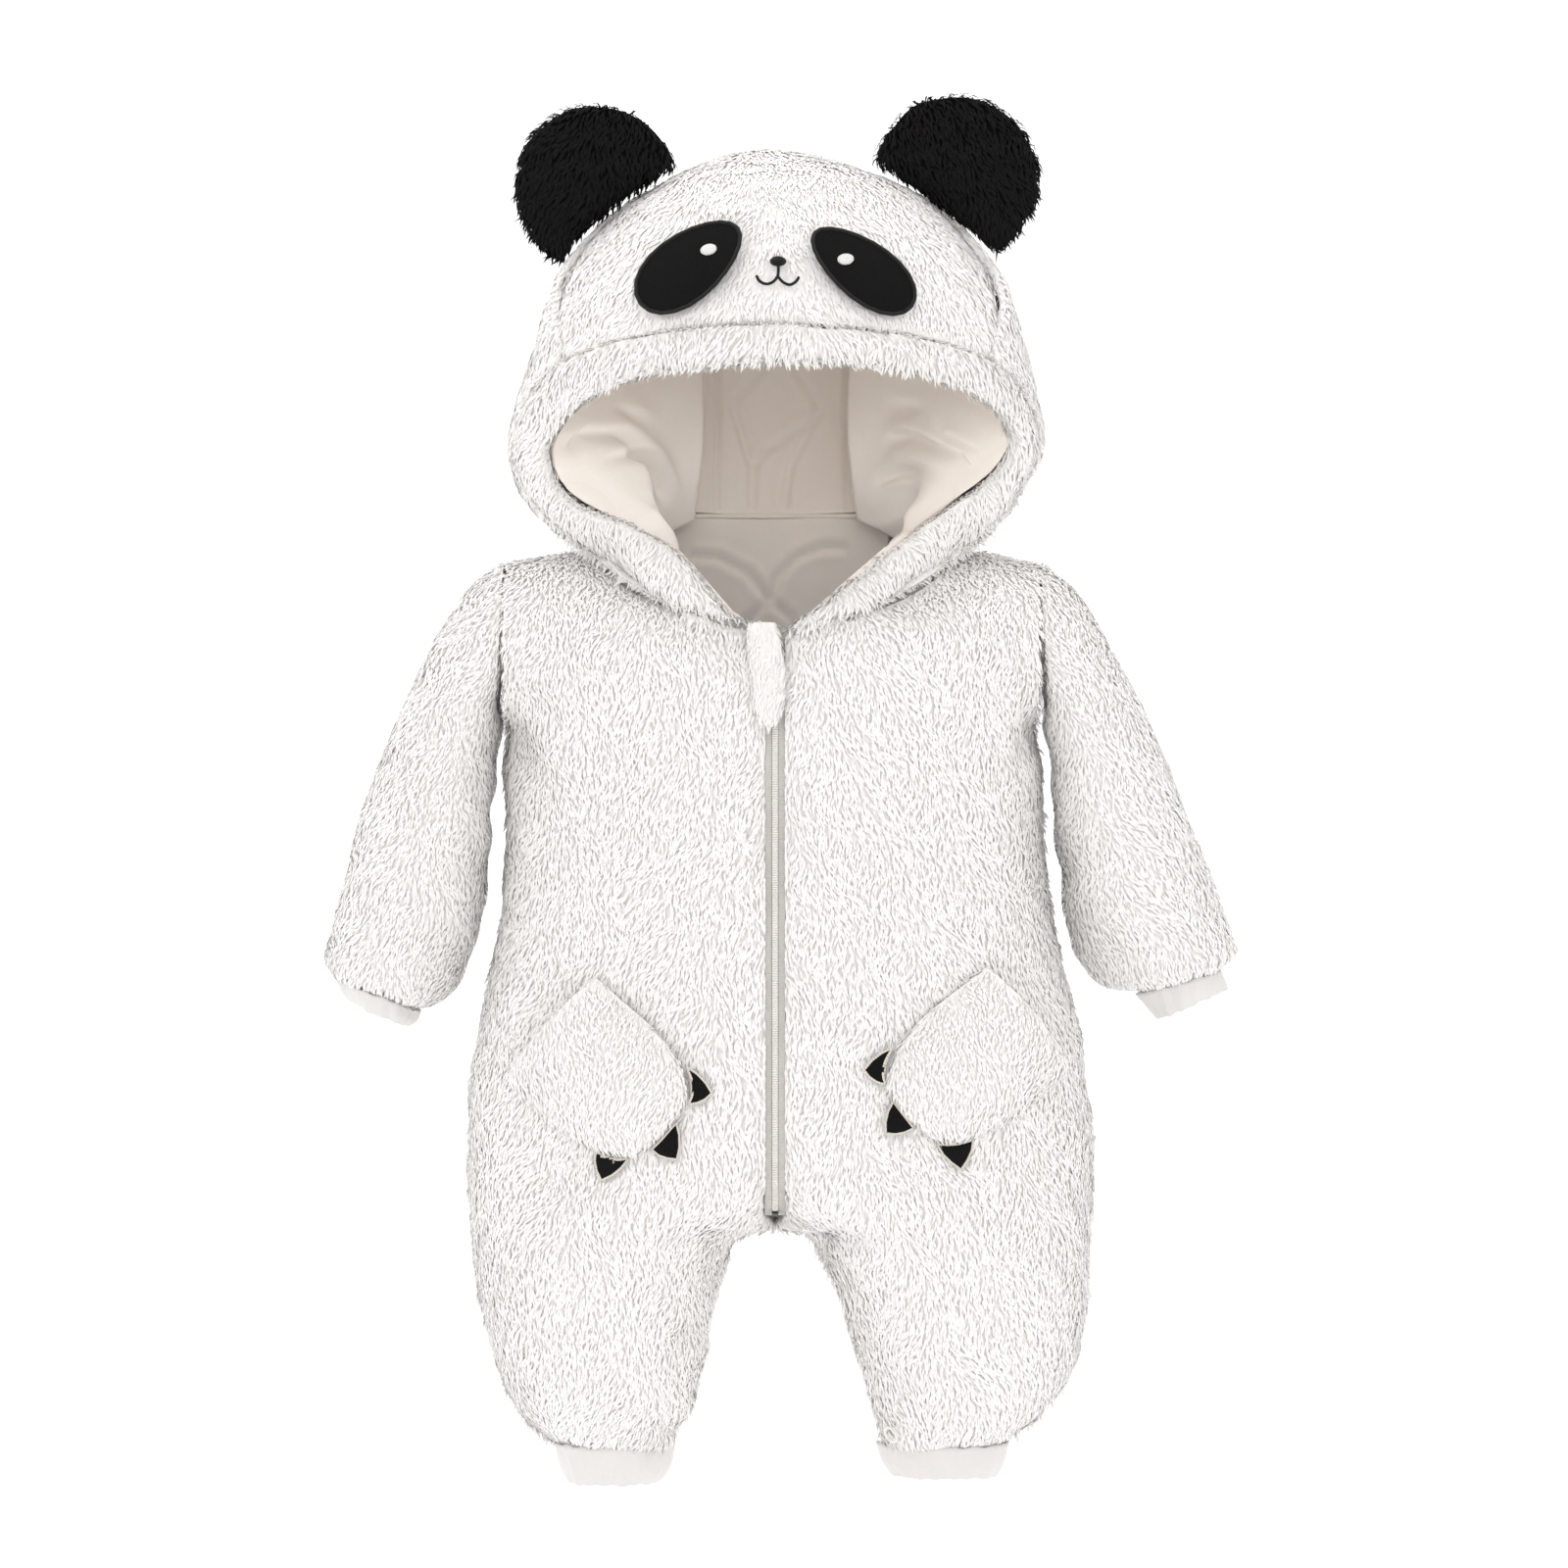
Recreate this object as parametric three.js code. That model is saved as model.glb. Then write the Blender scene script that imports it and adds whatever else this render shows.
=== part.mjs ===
// Hooded plush snowsuit for a baby, filled out as if worn, with nobody in it.
//
// Millimetres, +Z up. The front faces -Y and +X is the viewer's right. The origin is in the middle of
// the neck, just below the shoulder seams. "left" pieces lie at -X and "right" ones at +X.

import * as THREE from 'three';

// ---------------------------------------------------------------------------------- driving sizes

const PLUSH = 7; // plush wall: backing, wadding and pile together
const LINING = 3; // quilted velour lining
const CUFF = 3; // doubled smooth fleece of the cuffs
const SEAM = 0.15; // half of the gap left at a sewn seam
const FULL = 2.2; // roundness of the trunk's and legs' sections (2 is an ellipse)

const ARMPIT_Z = -93;
const SHOULDER_Z = 12;
const SEAT_Z = -346; // where the centre seams begin to curve under
const CROTCH_Z = -391;
const LEG_END_Z = -521;
const ARMHOLE_DEPTH = 48; // half of the armhole, front to back

const ZIP_HALF = 6.3; // half of the opening that shows the zip
const ZIP_END_Z = -385;
const ZIP_TOP_Z = -42;
const COIL_HALF = 1.6;

// The trunk and legs from the side: how far the front and back stand off the middle.
const DEPTHS = [
  { z: -521, front: 36, back: 36 },
  { z: -510, front: 46, back: 46 },
  { z: -490, front: 57, back: 58 },
  { z: -455, front: 66, back: 68 },
  { z: -420, front: 73, back: 77 },
  { z: -391, front: 80, back: 86 },
  { z: -346, front: 86, back: 92 },
  { z: -278, front: 88, back: 92 },
  { z: -186, front: 87, back: 88 },
  { z: -93, front: 84, back: 83 },
];

// Outer edge of each side, seen from the front.
const SIDES = [
  { z: -521, left: 134, right: 141 },
  { z: -513, left: 145, right: 153 },
  { z: -499, left: 157, right: 168 },
  { z: -464, left: 171, right: 184 },
  { z: -418, left: 180, right: 190 },
  { z: -360, left: 186, right: 191 },
  { z: -331, left: 186, right: 190 },
  { z: -278, left: 181, right: 184 },
  { z: -235, left: 172, right: 172 },
  { z: -186, left: 163, right: 164 },
  { z: -140, left: 162, right: 160 },
  { z: -93, left: 163, right: 159 },
];

// Inner edge of each leg, from the flat top of the crotch arch down to the cuff.
const INSEAMS = [
  { z: -521, left: 58, right: 61 },
  { z: -505, left: 50, right: 57 },
  { z: -476, left: 39, right: 47 },
  { z: -440, left: 34, right: 38 },
  { z: -415, left: 29, right: 28 },
  { z: -400, left: 23, right: 22 },
  { z: -394, left: 16, right: 16 },
  { z: -391, left: 0.15, right: 0.15 },
];

// The neck seam of one half, from the throat to the middle of the back. "roll" is the height at
// which the trunk's section is taken there, because the back climbs above the shoulder.
const NECK = [
  { at: 0.0, x: 6.3, z: -41, roll: -41 },
  { at: 0.12, x: 30, z: -36, roll: -36 },
  { at: 0.25, x: 60, z: -24, roll: -24 },
  { at: 0.38, x: 87, z: -9, roll: -9 },
  { at: 0.46, x: 101, z: 3, roll: 3 },
  { at: 0.52, x: 106, z: 13, roll: 12 },
  { at: 0.58, x: 103, z: 18, roll: 2 },
  { at: 0.68, x: 92, z: 24, roll: -18 },
  { at: 0.8, x: 68, z: 31, roll: -36 },
  { at: 0.9, x: 36, z: 34, roll: -48 },
  { at: 1.0, x: 0.15, z: 36, roll: -54 },
];
const NECK_SHOULDER = 0.52; // where the neck seam crosses the shoulder seam

// Sleeve sections from the armhole to the cuff: outer and inner edge seen from the front, and half
// of the depth.
const SLEEVES = {
  left: [
    { ox: 163.3, oz: 12, ix: 163.3, iz: -93, depth: 48 },
    { ox: 190, oz: -14, ix: 166, iz: -120, depth: 50 },
    { ox: 214, oz: -52, ix: 167, iz: -146, depth: 49 },
    { ox: 233, oz: -95, ix: 168, iz: -170, depth: 47 },
    { ox: 248, oz: -140, ix: 170, iz: -195, depth: 45 },
    { ox: 260, oz: -182, ix: 175, iz: -220, depth: 43 },
    { ox: 269, oz: -215, ix: 184, iz: -245, depth: 41 },
    { ox: 273, oz: -233, ix: 197, iz: -261, depth: 37 },
    { ox: 266, oz: -242, ix: 211, iz: -263, depth: 29 },
  ],
  right: [
    { ox: 159.3, oz: 12, ix: 159.3, iz: -93, depth: 48 },
    { ox: 186, oz: -14, ix: 164, iz: -120, depth: 50 },
    { ox: 209, oz: -54, ix: 165, iz: -146, depth: 49 },
    { ox: 231, oz: -100, ix: 167, iz: -172, depth: 47 },
    { ox: 250, oz: -148, ix: 169, iz: -196, depth: 45 },
    { ox: 265, oz: -190, ix: 174, iz: -221, depth: 43 },
    { ox: 275, oz: -214, ix: 184, iz: -241, depth: 41 },
    { ox: 278, oz: -228, ix: 198, iz: -252, depth: 37 },
    { ox: 268, oz: -238, ix: 214, iz: -253, depth: 29 },
  ],
};

const SLEEVE_CUFFS = {
  left: [
    { ox: 265, oz: -242.6, ix: 212, iz: -263.4, depth: 27 },
    { ox: 262, oz: -250, ix: 214, iz: -270, depth: 26 },
    { ox: 257, oz: -256, ix: 220, iz: -273, depth: 23 },
  ],
  right: [
    { ox: 267.3, oz: -238.6, ix: 215, iz: -253.4, depth: 27 },
    { ox: 270, oz: -245, ix: 221, iz: -261, depth: 26 },
    { ox: 271, oz: -250, ix: 228, iz: -268, depth: 23 },
  ],
};

const LEG_CUFFS = {
  left: [
    { z: -521.3, inner: 60, outer: 133, depth: 33 },
    { z: -533, inner: 60, outer: 130, depth: 32 },
    { z: -541, inner: 65, outer: 127, depth: 29 },
    { z: -545, inner: 70, outer: 124, depth: 26 },
  ],
  right: [
    { z: -521.3, inner: 60, outer: 140, depth: 34 },
    { z: -531, inner: 62, outer: 139, depth: 33 },
    { z: -537, inner: 66, outer: 136, depth: 30 },
    { z: -541, inner: 69, outer: 133, depth: 27 },
  ],
};

// Level sections of the hood below its brow: half widths, and depths ahead of and behind HOOD_Y.
const HOOD_Y = 15;
const HOOD_FULL = 2.1;
const HOOD = [
  { z: -50, left: 92, right: 92, front: 96, back: 50 },
  { z: -20, left: 100, right: 98, front: 97, back: 52 },
  { z: 0, left: 112, right: 112, front: 98, back: 56 },
  { z: 23, left: 141, right: 139, front: 98, back: 65 },
  { z: 50, left: 158, right: 155, front: 99, back: 80 },
  { z: 78, left: 164, right: 166, front: 100, back: 93 },
  { z: 104, left: 158, right: 162, front: 103, back: 99 },
  { z: 150, left: 142, right: 148, front: 106, back: 101 },
];
const BROW_Z = 150;
const HOOD_TOP_Z = 258;
const HOOD_HEART = new THREE.Vector3(0, HOOD_Y, 95); // the point that the hood closes round

// The band round the face, from the throat over the brow: its free edge on each side, and the
// seam that joins it to the hood.
const BAND = [
  { at: 0.0, leftX: 7, leftZ: -34, rightX: 7, rightZ: -35, seamX: 7, seamZ: -40.4 },
  { at: 0.09, leftX: 24, leftZ: -27, rightX: 29, rightZ: -21, seamX: 30, seamZ: -35.4 },
  { at: 0.18, leftX: 42, leftZ: -9, rightX: 56, rightZ: 1, seamX: 60, seamZ: -23.4 },
  { at: 0.27, leftX: 60, leftZ: 10, rightX: 80, rightZ: 20, seamX: 86, seamZ: -5 },
  { at: 0.36, leftX: 88, leftZ: 25, rightX: 102, rightZ: 36, seamX: 110, seamZ: 8 },
  { at: 0.45, leftX: 116, leftZ: 37, rightX: 122, rightZ: 48, seamX: 133, seamZ: 27 },
  { at: 0.54, leftX: 131, leftZ: 50, rightX: 138, rightZ: 62, seamX: 150, seamZ: 48 },
  { at: 0.63, leftX: 136, leftZ: 68, rightX: 144, rightZ: 77, seamX: 158, seamZ: 74 },
  { at: 0.72, leftX: 127, leftZ: 86, rightX: 137, rightZ: 91, seamX: 152, seamZ: 99 },
  { at: 0.81, leftX: 104, leftZ: 101, rightX: 114, rightZ: 104, seamX: 130, seamZ: 123 },
  { at: 0.9, leftX: 62, leftZ: 113, rightX: 70, rightZ: 114, seamX: 78, seamZ: 138 },
  { at: 1.0, leftX: 0, leftZ: 117, rightX: 0, rightZ: 117, seamX: 0, seamZ: 143 },
];
const BAND_STATIONS = 22; // on each half
const BAND_AT_NECK = 4; // the first station whose seam leaves the neck
const BAND_AT_BROW = 18; // the station where the side panel ends and the centre panel begins

// The band's puffy section: share of the way from its seam to its free edge, and height off the
// hood's surface, from the outside over the edge and back along the inside.
const BAND_SECTION = [
  { across: 0.25, out: 3.75 },
  { across: 0.6, out: 5 },
  { across: 0.9, out: 2 },
  { across: 1, out: -3 },
  { across: 0.96, out: -9 },
  { across: 0.55, out: -10 },
];

// The seam between the hood's centre and side panels, from the nape over the ear to the brow:
// height, and the turn round the level section from the side (0) to the back (90) or front (-90).
const HOOD_SEAM = [
  { at: 0.0, z: 35, turn: 66 },
  { at: 0.18, z: 90, turn: 66 },
  { at: 0.34, z: 150, turn: 62 },
  { at: 0.48, z: 210, turn: 50 },
  { at: 0.58, z: 243, turn: 22 },
  { at: 0.66, z: 240, turn: 4 },
  { at: 0.78, z: 212, turn: 0 },
  { at: 0.88, z: 180, turn: -6 },
  { at: 0.95, z: 150, turn: -22 },
  { at: 1.0, z: 123, turn: -38 },
];

// The middle line of the hood's centre panel in the plane x = 0.
const HOOD_MIDDLE = [
  { at: 0.0, y: 80, z: 36.5 },
  { at: 0.18, y: 112, z: 92 },
  { at: 0.34, y: 116, z: 150 },
  { at: 0.48, y: 92, z: 216 },
  { at: 0.58, y: 55, z: 248 },
  { at: 0.66, y: 15, z: 258 },
  { at: 0.78, y: -38, z: 243 },
  { at: 0.88, y: -72, z: 210 },
  { at: 0.95, y: -87, z: 172 },
  { at: 1.0, y: -91, z: 143 },
];

// The lining's centre strip, from the nape up the back and over to the brow: its middle line, its
// half width, and how far its edges curve in towards the face.
const LINING_MIDDLE = [
  { at: 0.0, y: 64, z: 36, half: 54, bow: 7 },
  { at: 0.12, y: 74, z: 62, half: 51, bow: 7 },
  { at: 0.26, y: 84, z: 95, half: 50, bow: 7 },
  { at: 0.4, y: 90, z: 140, half: 51, bow: 8 },
  { at: 0.55, y: 72, z: 195, half: 55, bow: 10 },
  { at: 0.68, y: 25, z: 232, half: 60, bow: 14 },
  { at: 0.8, y: -26, z: 220, half: 68, bow: 20 },
  { at: 0.9, y: -60, z: 178, half: 80, bow: 27 },
  { at: 1.0, y: -72, z: 134, half: 88, bow: 27 },
];
const LOBE_FORWARD = 34; // how far the puffed side of the lining stands ahead of its seam

const EARS = {
  left: { x: -107, z: 232, radius: 51, innerZ: 248, outerZ: 184 },
  right: { x: 109, z: 238, radius: 51, innerZ: 249, outerZ: 187 },
};
const EAR_PUFF = 15;
const EAR_ARC = 15; // steps round an ear's free edge
const EAR_BASE = 5; // and along its sewn one
const EAR_CLEAR = 0.6; // between an ear and the hood's outline
const EAR_RINGS = [0, 0.45, 0.75, 0.93, 1];
const EAR_FULL = { edge: 0.98, power: 2.4 }; // how the puff falls off towards the edge

const PATCHES = {
  left: { x: -50.5, z: 176, long: 36, short: 19.5, tilt: 38 },
  right: { x: 51.5, z: 173.5, long: 35.5, short: 17, tilt: -37 },
};
const PATCH_LIFT = 1.2;
const PATCH_SEAT = -1.5; // down on the flats between the points of the hood's wall
const PATCH_RINGS = [0, 0.5, 0.85, 1];
const PATCH_AROUND = 22;
const PATCH_FAT = 0.16; // how much fatter than an even oval one end is

// Paw pockets: the middle of the mouth, the way the paw points below the level, and half its width.
const POCKETS = {
  left: { x: -130.3, z: -271.4, points: 40.5, half: 42.4 },
  right: { x: 146.5, z: -266.1, points: 37.5, half: 41.4 },
};
const PAW_LENGTH = 90;
const PAW_FULL = 3.4; // roundness of the paw's outline
const PAW_EDGE = 0.985; // share of the half width at which the straight side runs
const PAW_WALL = 5;
const PAW_PUFF = 14; // how far the paw stands off the body
const PAW_MOUTH = 12; // the same at the mouth
const PAW_CLEAR = 0.8; // between the sewn edge and the body
const PAW_EDGE_WALL = 0.6; // share of the wall's thickness that is left at the sewn edge
const PAW_RAMP = 3; // how fast the wall and the puff reach their full size
const PAW_PLACES = [-1, -0.93, -0.8, -0.55, -0.25, 0, 0.25, 0.55, 0.8, 0.93, 1];
const PAW_ROWS = [0, 0.12, 0.3, 0.5, 0.7, 0.85, 0.95, 1];

// Claws round the paw's end: place across the paw, base width, length and lean of the tip.
const CLAWS = {
  left: [
    { across: 0.66, width: 22, length: 12, lean: -5 },
    { across: -0.12, width: 21.5, length: 15, lean: -5.5 },
    { across: -0.8, width: 20, length: 15, lean: -2.5 },
  ],
  right: [
    { across: 0.7, width: 22, length: 12, lean: -5 },
    { across: -0.02, width: 20, length: 15, lean: -2 },
    { across: -0.78, width: 21, length: 16, lean: -1 },
  ],
};
const CLAW_THICK = 3;
const CLAW_BOW = 1.8; // how far a claw's sides swell beyond straight ones
const CLAW_CLEAR = 0.5; // between a claw and the paw
const CLAW_SEAT = 0.4; // between a claw and the body
const CLAW_RINGS = [0, 0.6, 1];

const COLOURS = {
  plush: { color: 0xf6f1ec, roughness: 0.95, metalness: 0 },
  fleece: { color: 0xf7f3ee, roughness: 0.9, metalness: 0 },
  lining: { color: 0xf3ebdd, roughness: 0.85, metalness: 0 },
  black: { color: 0x141313, roughness: 0.95, metalness: 0 },
  tape: { color: 0xcfcac2, roughness: 0.7, metalness: 0 },
  coil: { color: 0xc4bfb6, roughness: 0.5, metalness: 0 },
  dark: { color: 0x4a4744, roughness: 0.4, metalness: 0.6 },
};

// ------------------------------------------------------------------------------ tables and curves

// A smooth curve through the named column of a table, read at any value of its key column. The
// slopes are limited so that it never swings past its rows.
function through(rows, key, name) {
  const sorted = [...rows].sort((a, b) => a[key] - b[key]);
  const xs = sorted.map((row) => row[key]);
  const ys = sorted.map((row) => row[name]);
  const steps = xs.slice(1).map((x, i) => (ys[i + 1] - ys[i]) / (x - xs[i]));
  const slopes = xs.map((_, i) => {
    if (i === 0) return steps[0];
    if (i === xs.length - 1) return steps[i - 1];
    if (steps[i - 1] * steps[i] <= 0) return 0;
    return (2 * steps[i - 1] * steps[i]) / (steps[i - 1] + steps[i]);
  });
  return (value) => {
    const x = Math.min(Math.max(value, xs[0]), xs[xs.length - 1]);
    let i = 0;
    while (i < xs.length - 2 && x > xs[i + 1]) i += 1;
    const width = xs[i + 1] - xs[i];
    const t = (x - xs[i]) / width;
    const a = (1 + 2 * t) * (1 - t) * (1 - t);
    const b = t * (1 - t) * (1 - t) * width;
    const c = t * t * (3 - 2 * t);
    const d = t * t * (t - 1) * width;
    return a * ys[i] + b * slopes[i] + c * ys[i + 1] + d * slopes[i + 1];
  };
}

const mix = (a, b, t) => a + (b - a) * t;
const ease = (t) => (1 - Math.cos(Math.PI * t)) / 2;
const smooth = (low, high, value) => {
  const t = Math.min(Math.max((value - low) / (high - low), 0), 1);
  return t * t * (3 - 2 * t);
};
const radians = (degrees) => (degrees * Math.PI) / 180;
const signed = (value, power) => Math.sign(value) * Math.abs(value) ** power;
const sign = (side) => (side === 'left' ? -1 : 1);
const vector = (x, y, z) => new THREE.Vector3(x, y, z);
const steps = (count) => Array.from({ length: count + 1 }, (_, i) => i / count);

// --------------------------------------------------------------------------------- closed bodies

// A closed mesh from two matching grids of points, rows by columns: the outer skin, the inner skin
// and the four edges between them. Rows that close into tubes have no side edges.
function solidBetween(outer, inner, tube = false) {
  const rows = outer.length;
  const columns = outer[0].length;
  const points = [...outer.flat(), ...inner.flat()];
  const faces = [];
  const at = (skin, r, c) => skin * rows * columns + r * columns + (c % columns);
  const quad = (a, b, c, d) => {
    const short = points[a].distanceTo(points[c]) <= points[b].distanceTo(points[d]);
    if (short) faces.push([a, b, c], [a, c, d]);
    else faces.push([a, b, d], [b, c, d]);
  };
  const spans = tube ? columns : columns - 1;
  for (let r = 0; r < rows - 1; r += 1) {
    for (let c = 0; c < spans; c += 1) {
      quad(at(0, r, c), at(0, r, c + 1), at(0, r + 1, c + 1), at(0, r + 1, c));
      quad(at(1, r, c), at(1, r + 1, c), at(1, r + 1, c + 1), at(1, r, c + 1));
    }
  }
  for (let c = 0; c < spans; c += 1) {
    quad(at(1, 0, c), at(1, 0, c + 1), at(0, 0, c + 1), at(0, 0, c));
    const last = rows - 1;
    quad(at(0, last, c), at(0, last, c + 1), at(1, last, c + 1), at(1, last, c));
  }
  if (!tube) {
    for (let r = 0; r < rows - 1; r += 1) {
      quad(at(0, r, 0), at(0, r + 1, 0), at(1, r + 1, 0), at(1, r, 0));
      const last = columns - 1;
      quad(at(1, r, last), at(1, r + 1, last), at(0, r + 1, last), at(0, r, last));
    }
  }
  return closedGeometry(points, faces);
}

// A closed mesh from a row of closed sections of the same point count, capped at both ends.
function loft(sections) {
  const count = sections[0].length;
  const points = sections.flat();
  const faces = [];
  for (let r = 0; r < sections.length - 1; r += 1) {
    for (let c = 0; c < count; c += 1) {
      const a = r * count + c;
      const b = r * count + ((c + 1) % count);
      const short = points[a].distanceTo(points[b + count]) <= points[b].distanceTo(points[a + count]);
      if (short) faces.push([a, b, b + count], [a, b + count, a + count]);
      else faces.push([a, b, a + count], [b, b + count, a + count]);
    }
  }
  const last = (sections.length - 1) * count;
  for (let c = 1; c < count - 1; c += 1) {
    faces.push([0, c + 1, c]);
    faces.push([last, last + c, last + c + 1]);
  }
  return closedGeometry(points, faces);
}

// An indexed geometry whose faces all point out, whichever way its grid was wound.
function closedGeometry(points, faces) {
  let volume = 0;
  for (const [a, b, c] of faces) {
    volume += points[a].dot(points[b].clone().cross(points[c]));
  }
  const index = volume > 0 ? faces.flat() : faces.flatMap(([a, b, c]) => [a, c, b]);
  const geometry = new THREE.BufferGeometry();
  geometry.setFromPoints(points);
  geometry.setIndex(index);
  geometry.computeVertexNormals();
  return geometry;
}

// Directions square to a grid of points, pointing away from the inside point given for each.
function gridNormals(grid, insideOf) {
  return grid.map((row, r) =>
    row.map((point, c) => {
      const down = grid[Math.min(r + 1, grid.length - 1)][c].clone();
      down.sub(grid[Math.max(r - 1, 0)][c]);
      const across = row[Math.min(c + 1, row.length - 1)].clone();
      across.sub(row[Math.max(c - 1, 0)]);
      const normal = down.cross(across).normalize();
      if (normal.dot(point.clone().sub(insideOf(point))) < 0) normal.negate();
      return normal;
    }),
  );
}

const moved = (grid, normals, distance) =>
  grid.map((row, r) => row.map((p, c) => p.clone().addScaledVector(normals[r][c], distance)));

// ------------------------------------------------------------------------------- trunk and legs

const sideEdge = {
  left: through(SIDES, 'z', 'left'),
  right: through(SIDES, 'z', 'right'),
};
const innerEdge = {
  left: through(INSEAMS, 'z', 'left'),
  right: through(INSEAMS, 'z', 'right'),
};
const depthOf = {
  front: through(DEPTHS, 'z', 'front'),
  back: through(DEPTHS, 'z', 'back'),
};
const armholeX = { left: sideEdge.left(ARMPIT_Z), right: sideEdge.right(ARMPIT_Z) };

const SEAT_DROP = SEAT_Z - CROTCH_Z;
const INSEAM_FORWARD = 16; // degrees by which the inside leg seam lies ahead of the leg's middle

const ROLL_Z = -60; // where the chest and back begin to roll over to the shoulder

// The trunk's depth at a height between the armpit and the shoulder, rolling over to nothing.
function rolledDepth(face, roll) {
  const share = Math.max(roll - ROLL_Z, 0) / (SHOULDER_Z - ROLL_Z);
  return depthOf[face](Math.min(roll, ARMPIT_Z)) * Math.sqrt(Math.max(1 - share * share, 0));
}

function armholeDepth(z) {
  const middle = (ARMPIT_Z + SHOULDER_Z) / 2;
  const share = (z - middle) / (SHOULDER_Z - middle);
  return ARMHOLE_DEPTH * Math.sqrt(Math.max(1 - share * share, 0));
}

const ARMHOLE_LIMIT = 0.98; // share of the trunk's depth that the armhole may reach

// How far the cloth stands off the plane y = 0 above the armpit.
function chestDepth(side, face, x, roll) {
  const depth = rolledDepth(face, roll);
  if (depth < Number.EPSILON) return 0;
  const share = Math.min(armholeDepth(roll) / depth, ARMHOLE_LIMIT);
  const reach = armholeX[side] / (1 - share ** FULL) ** (1 / FULL);
  return depth * Math.max(1 - (Math.abs(x) / reach) ** FULL, 0) ** (1 / FULL);
}

// The level section of one half at z: where its curve is centred, its half width and its depth.
function bodySection(side, face, z) {
  const outer = sideEdge[side](z);
  if (z >= SEAT_Z) return { middle: 0, half: outer };
  if (z >= CROTCH_Z) {
    const left = (z - CROTCH_Z) / SEAT_DROP;
    const half = outer / (2 - left);
    return { middle: half * (1 - left), half };
  }
  const inner = innerEdge[side](z);
  return { middle: (outer + inner) / 2, half: (outer - inner) / 2 };
}

function bodyPoint(side, face, z, angle) {
  const { middle, half } = bodySection(side, face, z);
  const x = middle + half * signed(Math.cos(angle), 2 / FULL);
  const lift = signed(Math.sin(angle), 2 / FULL);
  const facing = face === 'front' ? -1 : 1;
  const shownFace = lift >= 0 ? face : 'front';
  return vector(sign(side) * x, facing * lift * depthOf[shownFace](z), z);
}

// The front of the body below the armpit, as a depth over the front view.
function frontY(x, z) {
  const side = x < 0 ? 'left' : 'right';
  const { middle, half } = bodySection(side, 'front', z);
  const share = Math.min(Math.abs((Math.abs(x) - middle) / half), 1);
  return -depthOf.front(z) * (1 - share ** FULL) ** (1 / FULL);
}

const neckX = through(NECK, 'at', 'x');
const neckZ = through(NECK, 'at', 'z');
const neckRoll = through(NECK, 'at', 'roll');

function neckPoint(side, face, at) {
  const x = neckX(at);
  const y = chestDepth(side, face, x, neckRoll(at)) * (face === 'front' ? -1 : 1);
  return vector(sign(side) * x, y, neckZ(at));
}

const COLUMNS = 10;
const NECK_COLUMNS = 6; // columns that end at the neck; the rest end at the shoulder
const CHEST_ROWS = 8;
const SEAT_TURNS = [20, 40, 53, 60, 74, 90]; // degrees round the curve under the trunk
const LEG_ROWS = [-394, -401, -414, -436, -464, -490, -508, LEG_END_Z];

// Heights of the rows from the armpit to the leg's end.
const bodyHeights = [
  ...[ARMPIT_Z, -125, -160, -198, -236, -275, -312, SEAT_Z],
  ...SEAT_TURNS.map((turn) => SEAT_Z - SEAT_DROP * Math.sin(radians(turn))),
  ...LEG_ROWS,
];

const INSEAM_SETTLES = 40; // height over which the inside leg seam moves to its place
const INSEAM_CLEAR = 0.004; // radians beside the seam gap, for the facets there
const SIDE_CLEAR = 0.002; // radians that keep the side seam open

// Where the panel's inner edge runs at z: beside the zip, on the centre seam or on the inseam.
function innerAngle(side, face, z) {
  const { middle, half } = bodySection(side, face, z);
  if (z < CROTCH_Z) {
    const forward = radians(INSEAM_FORWARD) * smooth(0, INSEAM_SETTLES, CROTCH_Z - z);
    const gap = SEAM / depthOf.front(z) + INSEAM_CLEAR;
    return Math.PI - gap + (face === 'front' ? -forward : forward);
  }
  const edge = face === 'front' && z > ZIP_END_Z - 1 ? ZIP_HALF : SEAM;
  const share = Math.max((edge - middle) / half, -1);
  return Math.acos(signed(share, FULL / 2));
}

function bodyRow(side, face, z) {
  const start = innerAngle(side, face, z);
  return steps(COLUMNS).map((t) => bodyPoint(side, face, z, mix(start, SIDE_CLEAR, t)));
}

// Rows from the armpit up: each column runs to its own point of the neck or shoulder seam.
function chestRows(side, face) {
  const base = bodyRow(side, face, ARMPIT_Z);
  const facing = face === 'front' ? -1 : 1;
  const tops = steps(COLUMNS).map((_, c) => {
    if (c <= NECK_COLUMNS) {
      const share = c / NECK_COLUMNS;
      const at = face === 'front' ? mix(0, NECK_SHOULDER, share) : mix(1, NECK_SHOULDER, share);
      return { x: neckX(at), z: neckZ(at), roll: neckRoll(at) };
    }
    const share = (c - NECK_COLUMNS) / (COLUMNS - NECK_COLUMNS);
    const x = mix(neckX(NECK_SHOULDER), armholeX[side], share);
    return { x, z: mix(neckZ(NECK_SHOULDER), SHOULDER_Z, share), roll: SHOULDER_Z };
  });
  return steps(CHEST_ROWS).slice(1).map((t) => {
    const rise = ease(t);
    return base.map((foot, c) => {
      const x = mix(Math.abs(foot.x), tops[c].x, rise);
      const z = mix(ARMPIT_Z, tops[c].z, rise);
      const roll = mix(ARMPIT_Z, tops[c].roll, rise);
      const y = Math.max(chestDepth(side, face, x, roll), SEAM);
      return vector(sign(side) * x, facing * y, z);
    });
  });
}

function bodyGrid(side, face) {
  const above = chestRows(side, face).reverse();
  return [...above, ...bodyHeights.map((z) => bodyRow(side, face, z))];
}

const CORE_X = 45; // middle of each half of the trunk

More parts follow.
